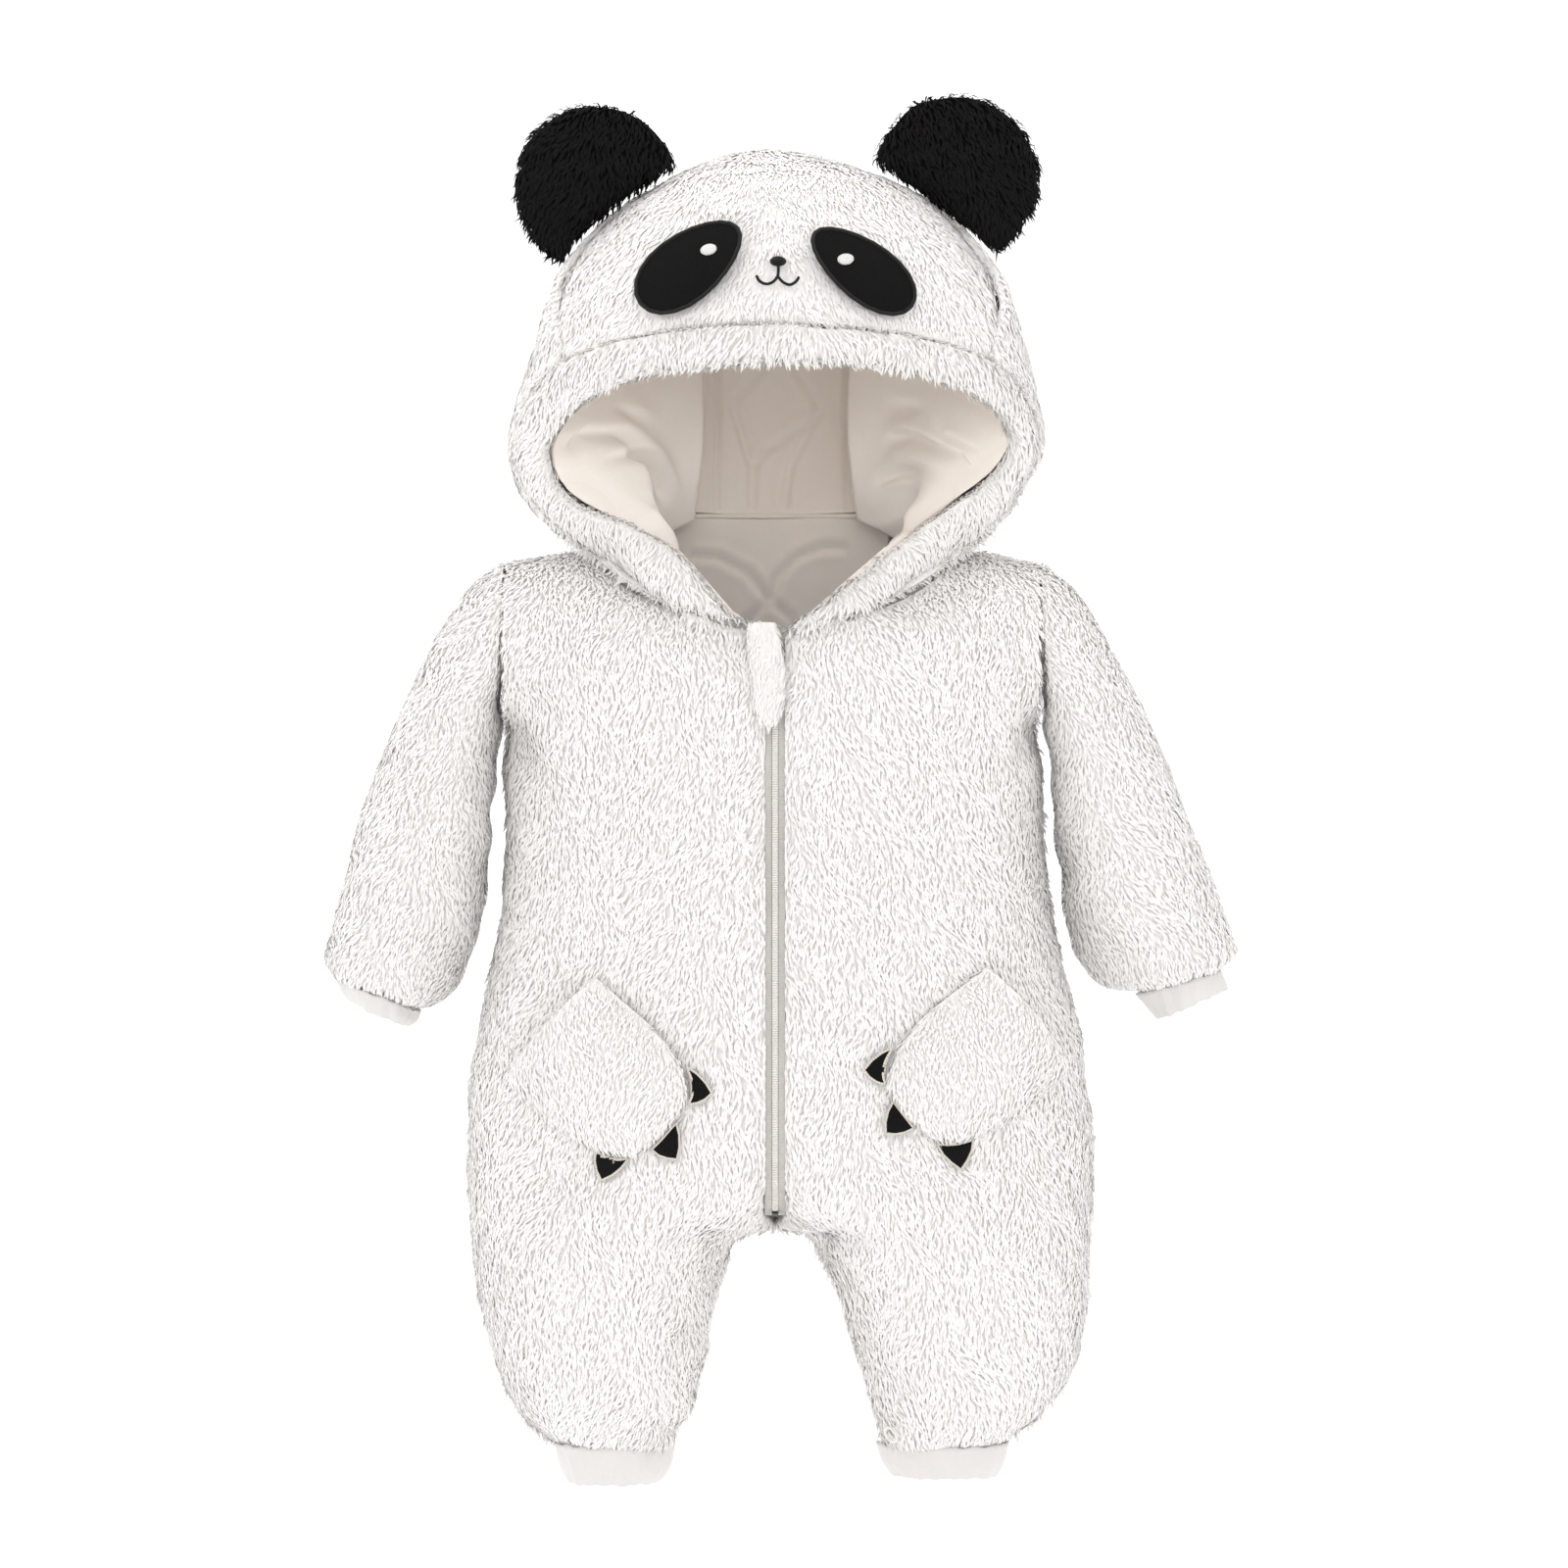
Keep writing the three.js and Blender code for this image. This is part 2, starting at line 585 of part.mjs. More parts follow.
// The middle of the cloth tube that a body point belongs to.
function insideBody(point) {
  if (point.z >= CROTCH_Z) return vector(Math.sign(point.x) * CORE_X, 0, Math.min(point.z, ROLL_Z));
  const side = point.x < 0 ? 'left' : 'right';
  const { middle } = bodySection(side, 'front', point.z);
  return vector(sign(side) * middle, 0, point.z);
}

// The direction square to a leg's level section, the same for both panels that meet there.
function legNormal(side, point) {
  const { middle, half } = bodySection(side, 'front', point.z);
  const across = (point.x - sign(side) * middle) / half;
  const along = point.y / depthOf.front(point.z);
  return vector(signed(across, FULL - 1) / half, signed(along, FULL - 1) / depthOf.front(point.z), 0);
}

function bodyPanel(side, face) {
  const grid = bodyGrid(side, face);
  const normals = gridNormals(grid, insideBody);
  normals.forEach((row, r) => {
    const z = grid[r][0].z;
    if (z < CROTCH_Z) row[0].copy(legNormal(side, grid[r][0]));
    if (z >= SEAT_Z) row[0].x = 0;
    else if (z >= CROTCH_Z) row[0].x = sign(side) * Math.min(sign(side) * row[0].x, 0);
    if (r >= CHEST_ROWS) row[COLUMNS].y = 0;
    if (r === normals.length - 1) row.forEach((normal) => normal.setZ(0));
    row.forEach((normal) => normal.normalize());
  });
  normals[0].forEach((normal, c) => {
    if (c >= NECK_COLUMNS) normal.set(0, 0, 1);
  });
  return solidBetween(grid, moved(grid, normals, -PLUSH));
}

// ------------------------------------------------------------------------------ sleeves and cuffs

const SLEEVE_RING = 2 * CHEST_ROWS; // points round a sleeve, matching the rows of the armhole
const LEG_RING = 20;

function sleeveRing(side, row, inset) {
  const middle = vector((row.ox + row.ix) / 2, 0, (row.oz + row.iz) / 2);
  const across = vector((row.ox - row.ix) / 2, 0, (row.oz - row.iz) / 2);
  const half = across.length();
  across.multiplyScalar((half - inset) / half);
  return Array.from({ length: SLEEVE_RING }, (_, i) => {
    const angle = (2 * Math.PI * i) / SLEEVE_RING;
    const point = middle.clone().addScaledVector(across, Math.cos(angle));
    point.y = -(row.depth - inset) * Math.sin(angle);
    point.x *= sign(side);
    return point;
  });
}

function legRing(side, row, inset) {
  const middle = (row.inner + row.outer) / 2;
  const half = (row.outer - row.inner) / 2 - inset;
  return Array.from({ length: LEG_RING }, (_, i) => {
    const angle = (2 * Math.PI * i) / LEG_RING;
    const x = middle + half * Math.cos(angle);
    return vector(sign(side) * x, -(row.depth - inset) * Math.sin(angle), row.z);
  });
}

function tube(side, rows, ring, wall) {
  const outer = rows.map((row) => ring(side, row, 0));
  const inner = rows.map((row) => ring(side, row, wall));
  return solidBetween(outer, inner, true);
}

// ------------------------------------------------------------------------------------------ hood

const hoodColumns = {
  left: through(HOOD, 'z', 'left'),
  right: through(HOOD, 'z', 'right'),
  front: through(HOOD, 'z', 'front'),
  back: through(HOOD, 'z', 'back'),
};

const DOME_WIDE = 1.7; // roundness of the dome seen from the front
const DOME_DEEP = 2; // and from the side

// The share of its brow size that the hood keeps at a height above the brow.
function domeShare(z, roundness) {
  const share = Math.min(Math.max((z - BROW_Z) / (HOOD_TOP_Z - BROW_Z), 0), 1);
  return (1 - share ** roundness) ** (1 / roundness);
}
const hoodHalf = (side, z) => hoodColumns[side](z) * domeShare(z, DOME_WIDE);
const hoodDepth = (face, z) => hoodColumns[face](z) * domeShare(z, DOME_DEEP);

const OUTSIDE = 2;

// Below 1 inside the hood's outer surface, above 1 outside it.
function hoodLevel(point) {
  if (point.z >= HOOD_TOP_Z) return OUTSIDE;
  const side = point.x < 0 ? 'left' : 'right';
  const face = point.y < HOOD_Y ? 'front' : 'back';
  const across = Math.abs(point.x) / hoodHalf(side, point.z);
  const along = Math.abs(point.y - HOOD_Y) / hoodDepth(face, point.z);
  return across ** HOOD_FULL + along ** HOOD_FULL;
}

const BEYOND_HOOD = 400; // farther from its heart than any of the hood
const HALVINGS = 40;

// The point of the hood's surface in a direction from its heart.
function hoodToward(direction) {
  let low = 0;
  let high = BEYOND_HOOD;
  const point = vector(0, 0, 0);
  for (let i = 0; i < HALVINGS; i += 1) {
    const distance = (low + high) / 2;
    point.copy(HOOD_HEART).addScaledVector(direction, distance);
    if (hoodLevel(point) < 1) low = distance;
    else high = distance;
  }
  return point.clone();
}

const PROBE = 1; // step at which a surface's slope is read
const CROWN = 4; // height of the hood's top that counts as level

function hoodNormal(point) {
  const slope = (x, y, z) =>
    hoodLevel(point.clone().add(vector(x, y, z))) - hoodLevel(point.clone().sub(vector(x, y, z)));
  if (point.z > HOOD_TOP_Z - CROWN) return vector(0, 0, 1);
  return vector(slope(PROBE, 0, 0), slope(0, PROBE, 0), slope(0, 0, PROBE)).normalize();
}

// The point at a height and a turn round the level section: -90 front, 0 side, 90 back.
function hoodRound(side, z, turn) {
  const angle = radians(turn);
  const x = hoodHalf(side, z) * Math.cos(angle) ** (2 / HOOD_FULL);
  const face = turn < 0 ? 'front' : 'back';
  const y = HOOD_Y + hoodDepth(face, z) * signed(Math.sin(angle), 2 / HOOD_FULL);
  return vector(sign(side) * x, y, z);
}

const FRONT_LIMIT = 0.99; // share of the half width up to which the front is read

// The turn at which the front of the hood stands at x.
function hoodFrontTurn(side, x, z) {
  const share = Math.min(x / hoodHalf(side, z), FRONT_LIMIT);
  return (-Math.acos(share ** (HOOD_FULL / 2)) * 180) / Math.PI;
}

const bandSeamX = through(BAND, 'at', 'seamX');
const bandSeamZ = through(BAND, 'at', 'seamZ');
const bandEdge = {
  left: { x: through(BAND, 'at', 'leftX'), z: through(BAND, 'at', 'leftZ') },
  right: { x: through(BAND, 'at', 'rightX'), z: through(BAND, 'at', 'rightZ') },
};
const hoodSeamZ = through(HOOD_SEAM, 'at', 'z');
const hoodSeamTurn = through(HOOD_SEAM, 'at', 'turn');
const hoodMiddleY = through(HOOD_MIDDLE, 'at', 'y');
const hoodMiddleZ = through(HOOD_MIDDLE, 'at', 'z');

const NECK_GAP = 1; // the hood's lower edge above the neck seam
const BAND_LEAVES = 4; // stations over which the band's seam passes from the neck to the hood

// Places along the band's seam and those of the neck seam that they are sewn to.
const BAND_ON_NECK = [
  { at: 0, neck: 0 },
  { at: 0.09, neck: 0.12 },
  { at: 0.18, neck: 0.25 },
  { at: 0.32, neck: 0.4 },
];
const bandNeckAt = through(BAND_ON_NECK, 'at', 'neck');

// The band's seam at a station, on the neck first and then on the hood's surface.
function bandSeam(side, station) {
  const at = station / BAND_STATIONS;
  const x = bandSeamX(at);
  const z = bandSeamZ(at);
  const onHood = hoodRound(side, z, hoodFrontTurn(side, x, z));
  if (station >= BAND_AT_NECK + BAND_LEAVES) return onHood;
  const onNeck = neckPoint(side, 'front', bandNeckAt(at));
  onNeck.z += NECK_GAP;
  return onNeck.lerp(onHood, smooth(BAND_AT_NECK, BAND_AT_NECK + BAND_LEAVES, station));
}

// The band's free edge at a station.
function bandFree(side, station) {
  const at = station / BAND_STATIONS;
  const x = bandEdge[side].x(at);
  const z = bandEdge[side].z(at);
  return hoodRound(side, z, hoodFrontTurn(side, x, z));
}

// A row of points with its two ends drawn in along it.
function shortened(row, start, end) {
  const last = row.length - 1;
  const first = row[0].clone();
  const final = row[last].clone();
  row[0].addScaledVector(row[1].clone().sub(first).normalize(), start);
  row[last].addScaledVector(row[last - 1].clone().sub(final).normalize(), end);
  return row;
}

const HOOD_COLUMNS = 9;
const HOOD_LINES = BAND_AT_BROW - BAND_AT_NECK;
const HOOD_SEAM_GAP = 0.25; // half of the gap between the hood's panels
const NAPE_AT = 0.9; // where the side panel's neck edge ends and the centre panel's begins
const NECK_FADE = 4; // how fast the neck seam's line gives way to the hood's own form
const BROW_FADE = 12; // how near the brow the centre panel turns to the band's seam
const TIP_REACH = 0.72; // how far the side panel's last line lies on the way to its tip at the brow
const TIP_GAP = 1; // between that line and the centre panel

const hoodSeamPoint = (side, at) => hoodRound(side, hoodSeamZ(at), hoodSeamTurn(at));

// How much of the neck seam's own line a part of the hood keeps, from the neck (0) upwards.
const neckHold = (at) => (1 - at) ** NECK_FADE;

// Lines from the band's seam round the side to the centre panel's seam, from the neck upwards.
function hoodSideGrid(side) {
  const rows = steps(HOOD_LINES).slice(0, -1).map((at, line) => {
    const front = bandSeam(side, BAND_AT_NECK + line);
    const turn = hoodFrontTurn(side, Math.abs(front.x), front.z);
    const keep = neckHold(at);
    const row = steps(HOOD_COLUMNS).map((t) => {
      const z = mix(front.z, hoodSeamZ(at), t);
      const point = hoodRound(side, z, mix(turn, hoodSeamTurn(at), t));
      const neckAt = mix(bandNeckAt(BAND_AT_NECK / BAND_STATIONS), NAPE_AT, t);
      const neck = neckPoint(side, neckAt < NECK_SHOULDER ? 'front' : 'back', neckAt);
      neck.z += NECK_GAP;
      const base = hoodSideBase(side, t);
      return point.add(neck.sub(base).multiplyScalar(keep));
    });
    row[0].copy(front);
    return row;
  });
  const tip = bandSeam(side, BAND_AT_BROW);
  const last = rows[rows.length - 1].map((point) => point.clone().lerp(tip, TIP_REACH));
  return [...rows.map((row) => shortened(row, SEAM, HOOD_SEAM_GAP)), shortened(last, SEAM, TIP_GAP)];
}

// The lowest line of the hood's own surface, which the grid above draws on to the neck seam.
function hoodSideBase(side, t) {
  const front = bandSeam(side, BAND_AT_NECK);
  const turn = hoodFrontTurn(side, Math.abs(front.x), front.z);
  const z = mix(front.z, hoodSeamZ(0), t);
  return hoodRound(side, z, mix(turn, hoodSeamTurn(0), t));
}

// A point of the centre panel: a share of the way from its middle line to its seam.
function hoodCentrePoint(side, at, share) {
  const middle = vector(0, hoodMiddleY(at), hoodMiddleZ(at)).sub(HOOD_HEART).normalize();
  const seam = hoodSeamPoint(side, at).sub(HOOD_HEART).normalize();
  const turnOut = Math.asin(Math.min(Math.abs(seam.x), 1));
  const upright = vector(0, seam.y, seam.z).normalize();
  const plane = middle.lerp(upright, share * share).normalize();
  const direction = plane.multiplyScalar(Math.cos(turnOut * share));
  direction.x = sign(side) * Math.sin(turnOut * share);
  return hoodToward(direction.normalize());
}

// Rows across the centre panel, from the nape over the top to the brow.
function hoodCentreGrid() {
  const across = BAND_STATIONS - BAND_AT_BROW;
  const places = steps(2 * across).map((t) => 2 * t - 1);
  return steps(HOOD_LINES).map((at) => {
    const row = places.map((place) => {
      const side = place < 0 ? 'left' : 'right';
      const share = Math.abs(place);
      const point = hoodCentrePoint(side, at, share);
      const brow = bandSeam(side, BAND_AT_BROW + across * (1 - share));
      const nape = neckPoint(side, 'back', mix(1, NAPE_AT, share));
      nape.z += NECK_GAP;
      point.addScaledVector(nape.sub(hoodCentrePoint(side, 0, share)), neckHold(at));
      return point.lerp(brow, at ** BROW_FADE);
    });
    return shortened(row, HOOD_SEAM_GAP, HOOD_SEAM_GAP);
  });
}

const BAND_GAP = 0.45; // between the band and the hood

function hoodWall(grid) {
  const normals = grid.map((row) => row.map((point) => hoodNormal(point)));
  return solidBetween(grid, moved(grid, normals, -PLUSH));
}

// The band's section at a station, sewn in over the thickness of the hood's wall.
function bandSection(side, station) {
  const seam = bandSeam(side, station);
  const free = bandFree(side, station);
  const out = hoodNormal(seam);
  const over = hoodNormal(free);
  const width = free.clone().sub(seam);
  const point = (along, outward) =>
    seam.clone().addScaledVector(width, along).addScaledVector(out.clone().lerp(over, along), outward);
  const gap = BAND_GAP / width.length();
  return [point(gap, 0), ...BAND_SECTION.map((row) => point(row.across, row.out)), point(gap, -PLUSH)];
}

function hoodBand() {
  const sections = [];
  for (let i = 0; i < BAND_STATIONS; i += 1) sections.push(bandSection('left', i));
  for (let i = BAND_STATIONS; i >= 0; i -= 1) sections.push(bandSection('right', i));
  return loft(sections);
}

// ---------------------------------------------------------------------------------------- lining

const liningY = through(LINING_MIDDLE, 'at', 'y');
const liningZ = through(LINING_MIDDLE, 'at', 'z');
const liningHalf = through(LINING_MIDDLE, 'at', 'half');
const liningBow = through(LINING_MIDDLE, 'at', 'bow');
const LINING_ROWS = 14;
const LINING_COLUMNS = 8;
const LINING_STEP = 0.01; // share of the strip at which its slope is read

// The way from the strip's middle line into the hollow.
function liningInward(at) {
  const rise = liningZ(at + LINING_STEP) - liningZ(at - LINING_STEP);
  const run = liningY(at + LINING_STEP) - liningY(at - LINING_STEP);
  return vector(0, -rise, run).normalize();
}

function liningStripPoint(at, place) {
  const point = vector(place * liningHalf(at), liningY(at), liningZ(at));
  return point.addScaledVector(liningInward(at), liningBow(at) * place * place);
}

const insideHood = () => vector(0, -10, 90);

// A lining wall behind a grid, thickened straight back from the strip along the shared seams.
function liningWall(grid, seamColumns) {
  const normals = gridNormals(grid, insideHood);
  normals.forEach((row, r) => {
    seamColumns.forEach((c) => row[c].copy(liningInward(r / LINING_ROWS)).negate());
  });
  return solidBetween(grid, moved(grid, normals, LINING));
}

function liningCentre() {
  const grid = steps(LINING_ROWS).map((at) =>
    shortened(steps(LINING_COLUMNS).map((t) => liningStripPoint(at, 2 * t - 1)), SEAM, SEAM),
  );
  return liningWall(grid, [0, LINING_COLUMNS]);
}

// The puffed side of the lining. Places along it run from the nape (0) to the brow (1).
const CHEEK = {
  behind: 15, // its front edge below the hood's surface at the band's free edge
  rises: [-0.05, 0.12], // where the lobe swells up
  fades: [0.35, 0.75], // and dies away
  past: 7, // how far the lobe reaches over the seam towards the middle
  flat: 0.12, // share of the way to the front edge at which an unpuffed row turns in
  full: 52, // the cheek's bulge at the nape
  lean: 22, // and higher up
  leanFrom: 0.4,
  slack: 0.75, // share of the bulge that is lost towards the brow
  slackFrom: 0.6,
  tuck: 0.45, // where the row between lobe and seam lies
  tuckIn: 3,
};
const CHEEK_CORE = { x: 25, y: 5, flatten: 0.6 }; // the line that the cheek bulges away from

// From behind the band, round the cheek, over the lobe and back to the centre strip.
function liningSide(side) {
  const stations = steps(LINING_ROWS).map((t) => mix(1, BAND_AT_BROW - 1, t));
  const grid = stations.map((station, line) => {
    const at = line / LINING_ROWS;
    const out = hoodNormal(bandFree(side, station));
    const start = bandFree(side, station).addScaledVector(out, -CHEEK.behind);
    const seam = liningStripPoint(at, sign(side));
    const puffed = smooth(...CHEEK.rises, at) * (1 - smooth(...CHEEK.fades, at));
    const lobe = seam.clone().lerp(start, CHEEK.flat * (1 - puffed));
    lobe.y -= LOBE_FORWARD * puffed;
    lobe.x -= sign(side) * CHEEK.past * puffed;
    const slack = 1 - CHEEK.slack * smooth(CHEEK.slackFrom, 1, at);
    const bulge = mix(CHEEK.full, CHEEK.lean, smooth(0, CHEEK.leanFrom, at)) * slack;
    const row = steps(LINING_COLUMNS).map((t) => {
      const point = start.clone().lerp(lobe, t);
      const backward = CHEEK_CORE.flatten * Math.max(point.y - CHEEK_CORE.y, 0);
      const away = vector(point.x + sign(side) * CHEEK_CORE.x, backward, 0).normalize();
      return point.addScaledVector(away, bulge * Math.sin(Math.PI * t));
    });
    const tuck = seam.clone().lerp(lobe, CHEEK.tuck);
    tuck.x += sign(side) * CHEEK.tuckIn * puffed;
    row.push(tuck, seam);
    return shortened(row, 0, 2 * SEAM);
  });
  return liningWall(grid, [LINING_COLUMNS + 1]);
}

const NECK_LINING = { half: 64, topZ: 34.5, lowZ: -70, topY: 62, lowY: 66, curve: 7 };
const NECK_LINING_ROWS = 6;
const NECK_LINING_COLUMNS = 10;

// The back of the neck below its seam, seen through the opening.
function liningNeck() {
  const { half, topZ, lowZ, topY, lowY, curve } = NECK_LINING;
  const grid = steps(NECK_LINING_ROWS).map((down) =>
    steps(NECK_LINING_COLUMNS).map((t) => {
      const place = 2 * t - 1;
      return vector(place * half, mix(topY, lowY, down) - curve * place * place, mix(topZ, lowZ, down));
    }),
  );
  const normals = gridNormals(grid, () => vector(0, 0, (topZ + lowZ) / 2));
  return solidBetween(grid, moved(grid, normals, LINING));
}

// ------------------------------------------------------------------------------------------ ears

// One half of a stuffed ear: a puffed disc, cut off where it is sewn along the hood's outline.
function earHalf(side, facing) {
  const ear = EARS[side];
  const middle = vector(ear.x, HOOD_Y, ear.z);
  const startAngle = Math.atan2(ear.innerZ - ear.z, sign(side) * hoodHalf(side, ear.innerZ) - ear.x);
  const endAngle = Math.atan2(ear.outerZ - ear.z, sign(side) * hoodHalf(side, ear.outerZ) - ear.x);
  const over = wrapped(endAngle - startAngle, -sign(side));
  const arc = steps(EAR_ARC).map((t) => {
    const angle = startAngle + over * t;
    return vector(ear.x + ear.radius * Math.cos(angle), 0, ear.z + ear.radius * Math.sin(angle));
  });
  const base = steps(EAR_BASE).slice(1, -1).map((t) => {
    const z = mix(ear.outerZ, ear.innerZ, t);
    return vector(sign(side) * (hoodHalf(side, z) + EAR_CLEAR), 0, z);
  });
  const outline = [...arc, ...base];
  const skin = EAR_RINGS.map((share) =>
    outline.map((edge) => {
      const puff = EAR_PUFF * Math.sqrt(1 - EAR_FULL.edge * share ** EAR_FULL.power);
      const x = mix(ear.x, edge.x, share);
      const z = mix(ear.z, edge.z, share);
      return vector(x, middle.y + facing * (SEAM + puff), z);
    }),
  );
  const flat = skin.map((ring) =>
    ring.map((point) => vector(point.x, middle.y + facing * SEAM, point.z)),
  );
  return fan(skin, flat);
}

// The angle wrapped to run all the way in the direction asked for.
function wrapped(angle, direction) {
  let result = angle;
  while (direction * result < 0) result += direction * 2 * Math.PI;
  return result;
}

// A closed body from two stacks of rings that each shrink to one point.
function fan(skin, flat) {
  const count = skin[0].length;
  const points = [skin[0][0], flat[0][0]];
  const faces = [];
  const place = (layer, ring, i) => 2 + ((layer * (skin.length - 1) + ring - 1) * count) + (i % count);
  [skin, flat].forEach((layer) => layer.slice(1).forEach((ring) => points.push(...ring)));
  for (let i = 0; i < count; i += 1) {
    faces.push([0, place(0, 1, i), place(0, 1, i + 1)]);
    faces.push([1, place(1, 1, i + 1), place(1, 1, i)]);
    for (let ring = 1; ring < skin.length - 1; ring += 1) {
      faces.push([place(0, ring, i), place(0, ring + 1, i), place(0, ring + 1, i + 1)]);
      faces.push([place(0, ring, i), place(0, ring + 1, i + 1), place(0, ring, i + 1)]);
      faces.push([place(1, ring, i), place(1, ring + 1, i + 1), place(1, ring + 1, i)]);
      faces.push([place(1, ring, i), place(1, ring, i + 1), place(1, ring + 1, i + 1)]);
    }
    const rim = skin.length - 1;
    faces.push([place(0, rim, i), place(1, rim, i), place(1, rim, i + 1)]);
    faces.push([place(0, rim, i), place(1, rim, i + 1), place(0, rim, i + 1)]);
  }
  return closedGeometry(points, faces);
}

// ------------------------------------------------------------------------------------ eye patches

// An oval of felt laid on the hood, a little fatter at its lower, outer end.
function eyePatch(side) {
  const patch = PATCHES[side];
  const tilt = radians(patch.tilt);
  const onHood = (x, z, lift) => {
    const place = x < 0 ? 'left' : 'right';
    const point = hoodRound(place, z, hoodFrontTurn(place, Math.abs(x), z));
    return point.addScaledVector(hoodNormal(point), lift);
  };
  const layer = (lift) =>
    PATCH_RINGS.map((share) =>
      Array.from({ length: PATCH_AROUND }, (_, i) => {
        const angle = (2 * Math.PI * i) / PATCH_AROUND;
        const along = patch.long * share * Math.cos(angle);
        const fat = 1 + PATCH_FAT * sign(side) * Math.cos(angle);
        const across = patch.short * share * Math.sin(angle) * fat;
        const x = patch.x + along * Math.cos(tilt) - across * Math.sin(tilt);
        const z = patch.z + along * Math.sin(tilt) + across * Math.cos(tilt);
        return onHood(x, z, lift);
      }),
    );
  return fan(layer(PATCH_SEAT + PATCH_LIFT), layer(PATCH_SEAT));
}

// --------------------------------------------------------------------------------------- pockets

const pawLength = (share) => PAW_LENGTH * (1 - Math.abs(share) ** PAW_FULL) ** (1 / PAW_FULL);

// A point of the paw's own plane, across and along it, in the front view.
function pawPlace(side, across, along) {
  const { x, z, points } = POCKETS[side];
  const angle = radians(points);
  const toward = -sign(side);
  const u = toward * Math.sin(angle) * across + toward * Math.cos(angle) * along;
  const v = Math.cos(angle) * across - Math.sin(angle) * along;
  return { x: x + u, z: z + v };
}

// The body's front at a place in the front view, moved out by a distance.
function onFront(x, z, lift) {
  const slopeX = (frontY(x + PROBE, z) - frontY(x - PROBE, z)) / (2 * PROBE);
  const slopeZ = (frontY(x, z + PROBE) - frontY(x, z - PROBE)) / (2 * PROBE);
  const normal = vector(slopeX, -1, slopeZ).normalize();
  return vector(x, frontY(x, z), z).addScaledVector(normal, lift);
}

// How much of its puff the paw has at a place across it and a share of the way down it.
const pawSwell = (place, down) => (1 - Math.abs(place) ** 2.5) * (1 - down ** 5);

function pocket(side) {
  const layer = (thick) =>
    PAW_ROWS.map((down) =>
      PAW_PLACES.map((place) => {
        const share = place * PAW_EDGE;
        const { x, z } = pawPlace(side, share * POCKETS[side].half, down * pawLength(share));
        const swell = pawSwell(place, down);
        const hollow = swell * mix(PAW_MOUTH, PAW_PUFF, Math.min(down * PAW_RAMP, 1));
        const wall = thick * mix(PAW_EDGE_WALL, 1, Math.min(swell * PAW_RAMP, 1));
        return onFront(x, z, PAW_CLEAR + hollow + wall);
      }),
    );
  return solidBetween(layer(PAW_WALL), layer(0));
}

const RIM_STATIONS = 400;
const RIM_TURN = 89; // degrees to each side of the paw's end

// The paw's outline as closely set stations: place, direction and distance along it.
function pawRim(side) {
  const rim = steps(RIM_STATIONS).map((t) => {
    const turn = mix(-RIM_TURN, RIM_TURN, t);
    const share = signed(Math.sin(radians(turn)), 2 / PAW_FULL) * PAW_EDGE;
    return { u: share * POCKETS[side].half, v: pawLength(share), walked: 0 };
  });
  for (let i = 1; i < rim.length; i += 1) {
    rim[i].walked = rim[i - 1].walked + Math.hypot(rim[i].u - rim[i - 1].u, rim[i].v - rim[i - 1].v);
  }
  return rim.slice(1, -1).map((spot, i) => {
    const run = { u: rim[i + 2].u - rim[i].u, v: rim[i + 2].v - rim[i].v };
    const size = Math.hypot(run.u, run.v) || 1;
    return { ...spot, alongU: run.u / size, alongV: run.v / size };
  });
}
const pawRims = { left: pawRim('left'), right: pawRim('right') };

const CLAW_BASE = 4; // steps along a claw's base
const CLAW_SIDE = 3; // and along each of its sides
const CLAW_MIDDLE = 0.36; // its middle's share of the way from base to tip
const CLAW_DOME = 0.8; // how far its thickness falls off towards the edge

// A claw sewn in under the paw's end: a plump tongue whose base hugs the outline.
function claw(side, number) {
  const { across, width, length, lean } = CLAWS[side][number];
  const rim = pawRims[side];
  const centre = rim.find((spot) => spot.u >= across * POCKETS[side].half);
  const base = steps(CLAW_BASE).map((t) => {
    const walked = centre.walked + mix(-width / 2, width / 2, t);
    const spot = rim.find((place) => place.walked >= walked) ?? rim[rim.length - 1];
    return [spot.u - spot.alongV * CLAW_CLEAR, spot.v + spot.alongU * CLAW_CLEAR];
  });
  const tip = [
    centre.u - centre.alongV * length + centre.alongU * lean,
    centre.v + centre.alongU * length + centre.alongV * lean,
  ];
  const swelled = (from, to) =>
    steps(CLAW_SIDE).slice(1, -1).map((t) => {
      const bow = CLAW_BOW * Math.sin(Math.PI * t);
      const run = Math.hypot(to[0] - from[0], to[1] - from[1]);
      return [
        mix(from[0], to[0], t) - (bow * (to[1] - from[1])) / run,
        mix(from[1], to[1], t) + (bow * (to[0] - from[0])) / run,
      ];
    });
  const end = base[CLAW_BASE];
  const outline = [...base, ...swelled(tip, end).reverse(), tip, ...swelled(base[0], tip).reverse()];
  const middle = [0, 1].map((k) => mix((base[0][k] + end[k]) / 2, tip[k], CLAW_MIDDLE));
  const layer = (top) =>
    CLAW_RINGS.map((ring) =>
      outline.map((spot) => {
        const { x, z } = pawPlace(side, mix(middle[0], spot[0], ring), mix(middle[1], spot[1], ring));
        const thick = top ? CLAW_THICK * Math.sqrt(1 - CLAW_DOME * ring * ring) : 0;
        return onFront(x, z, CLAW_SEAT + thick);
      }),
    );
  return fan(layer(true), layer(false));
}

// ------------------------------------------------------------------------------------------- zip

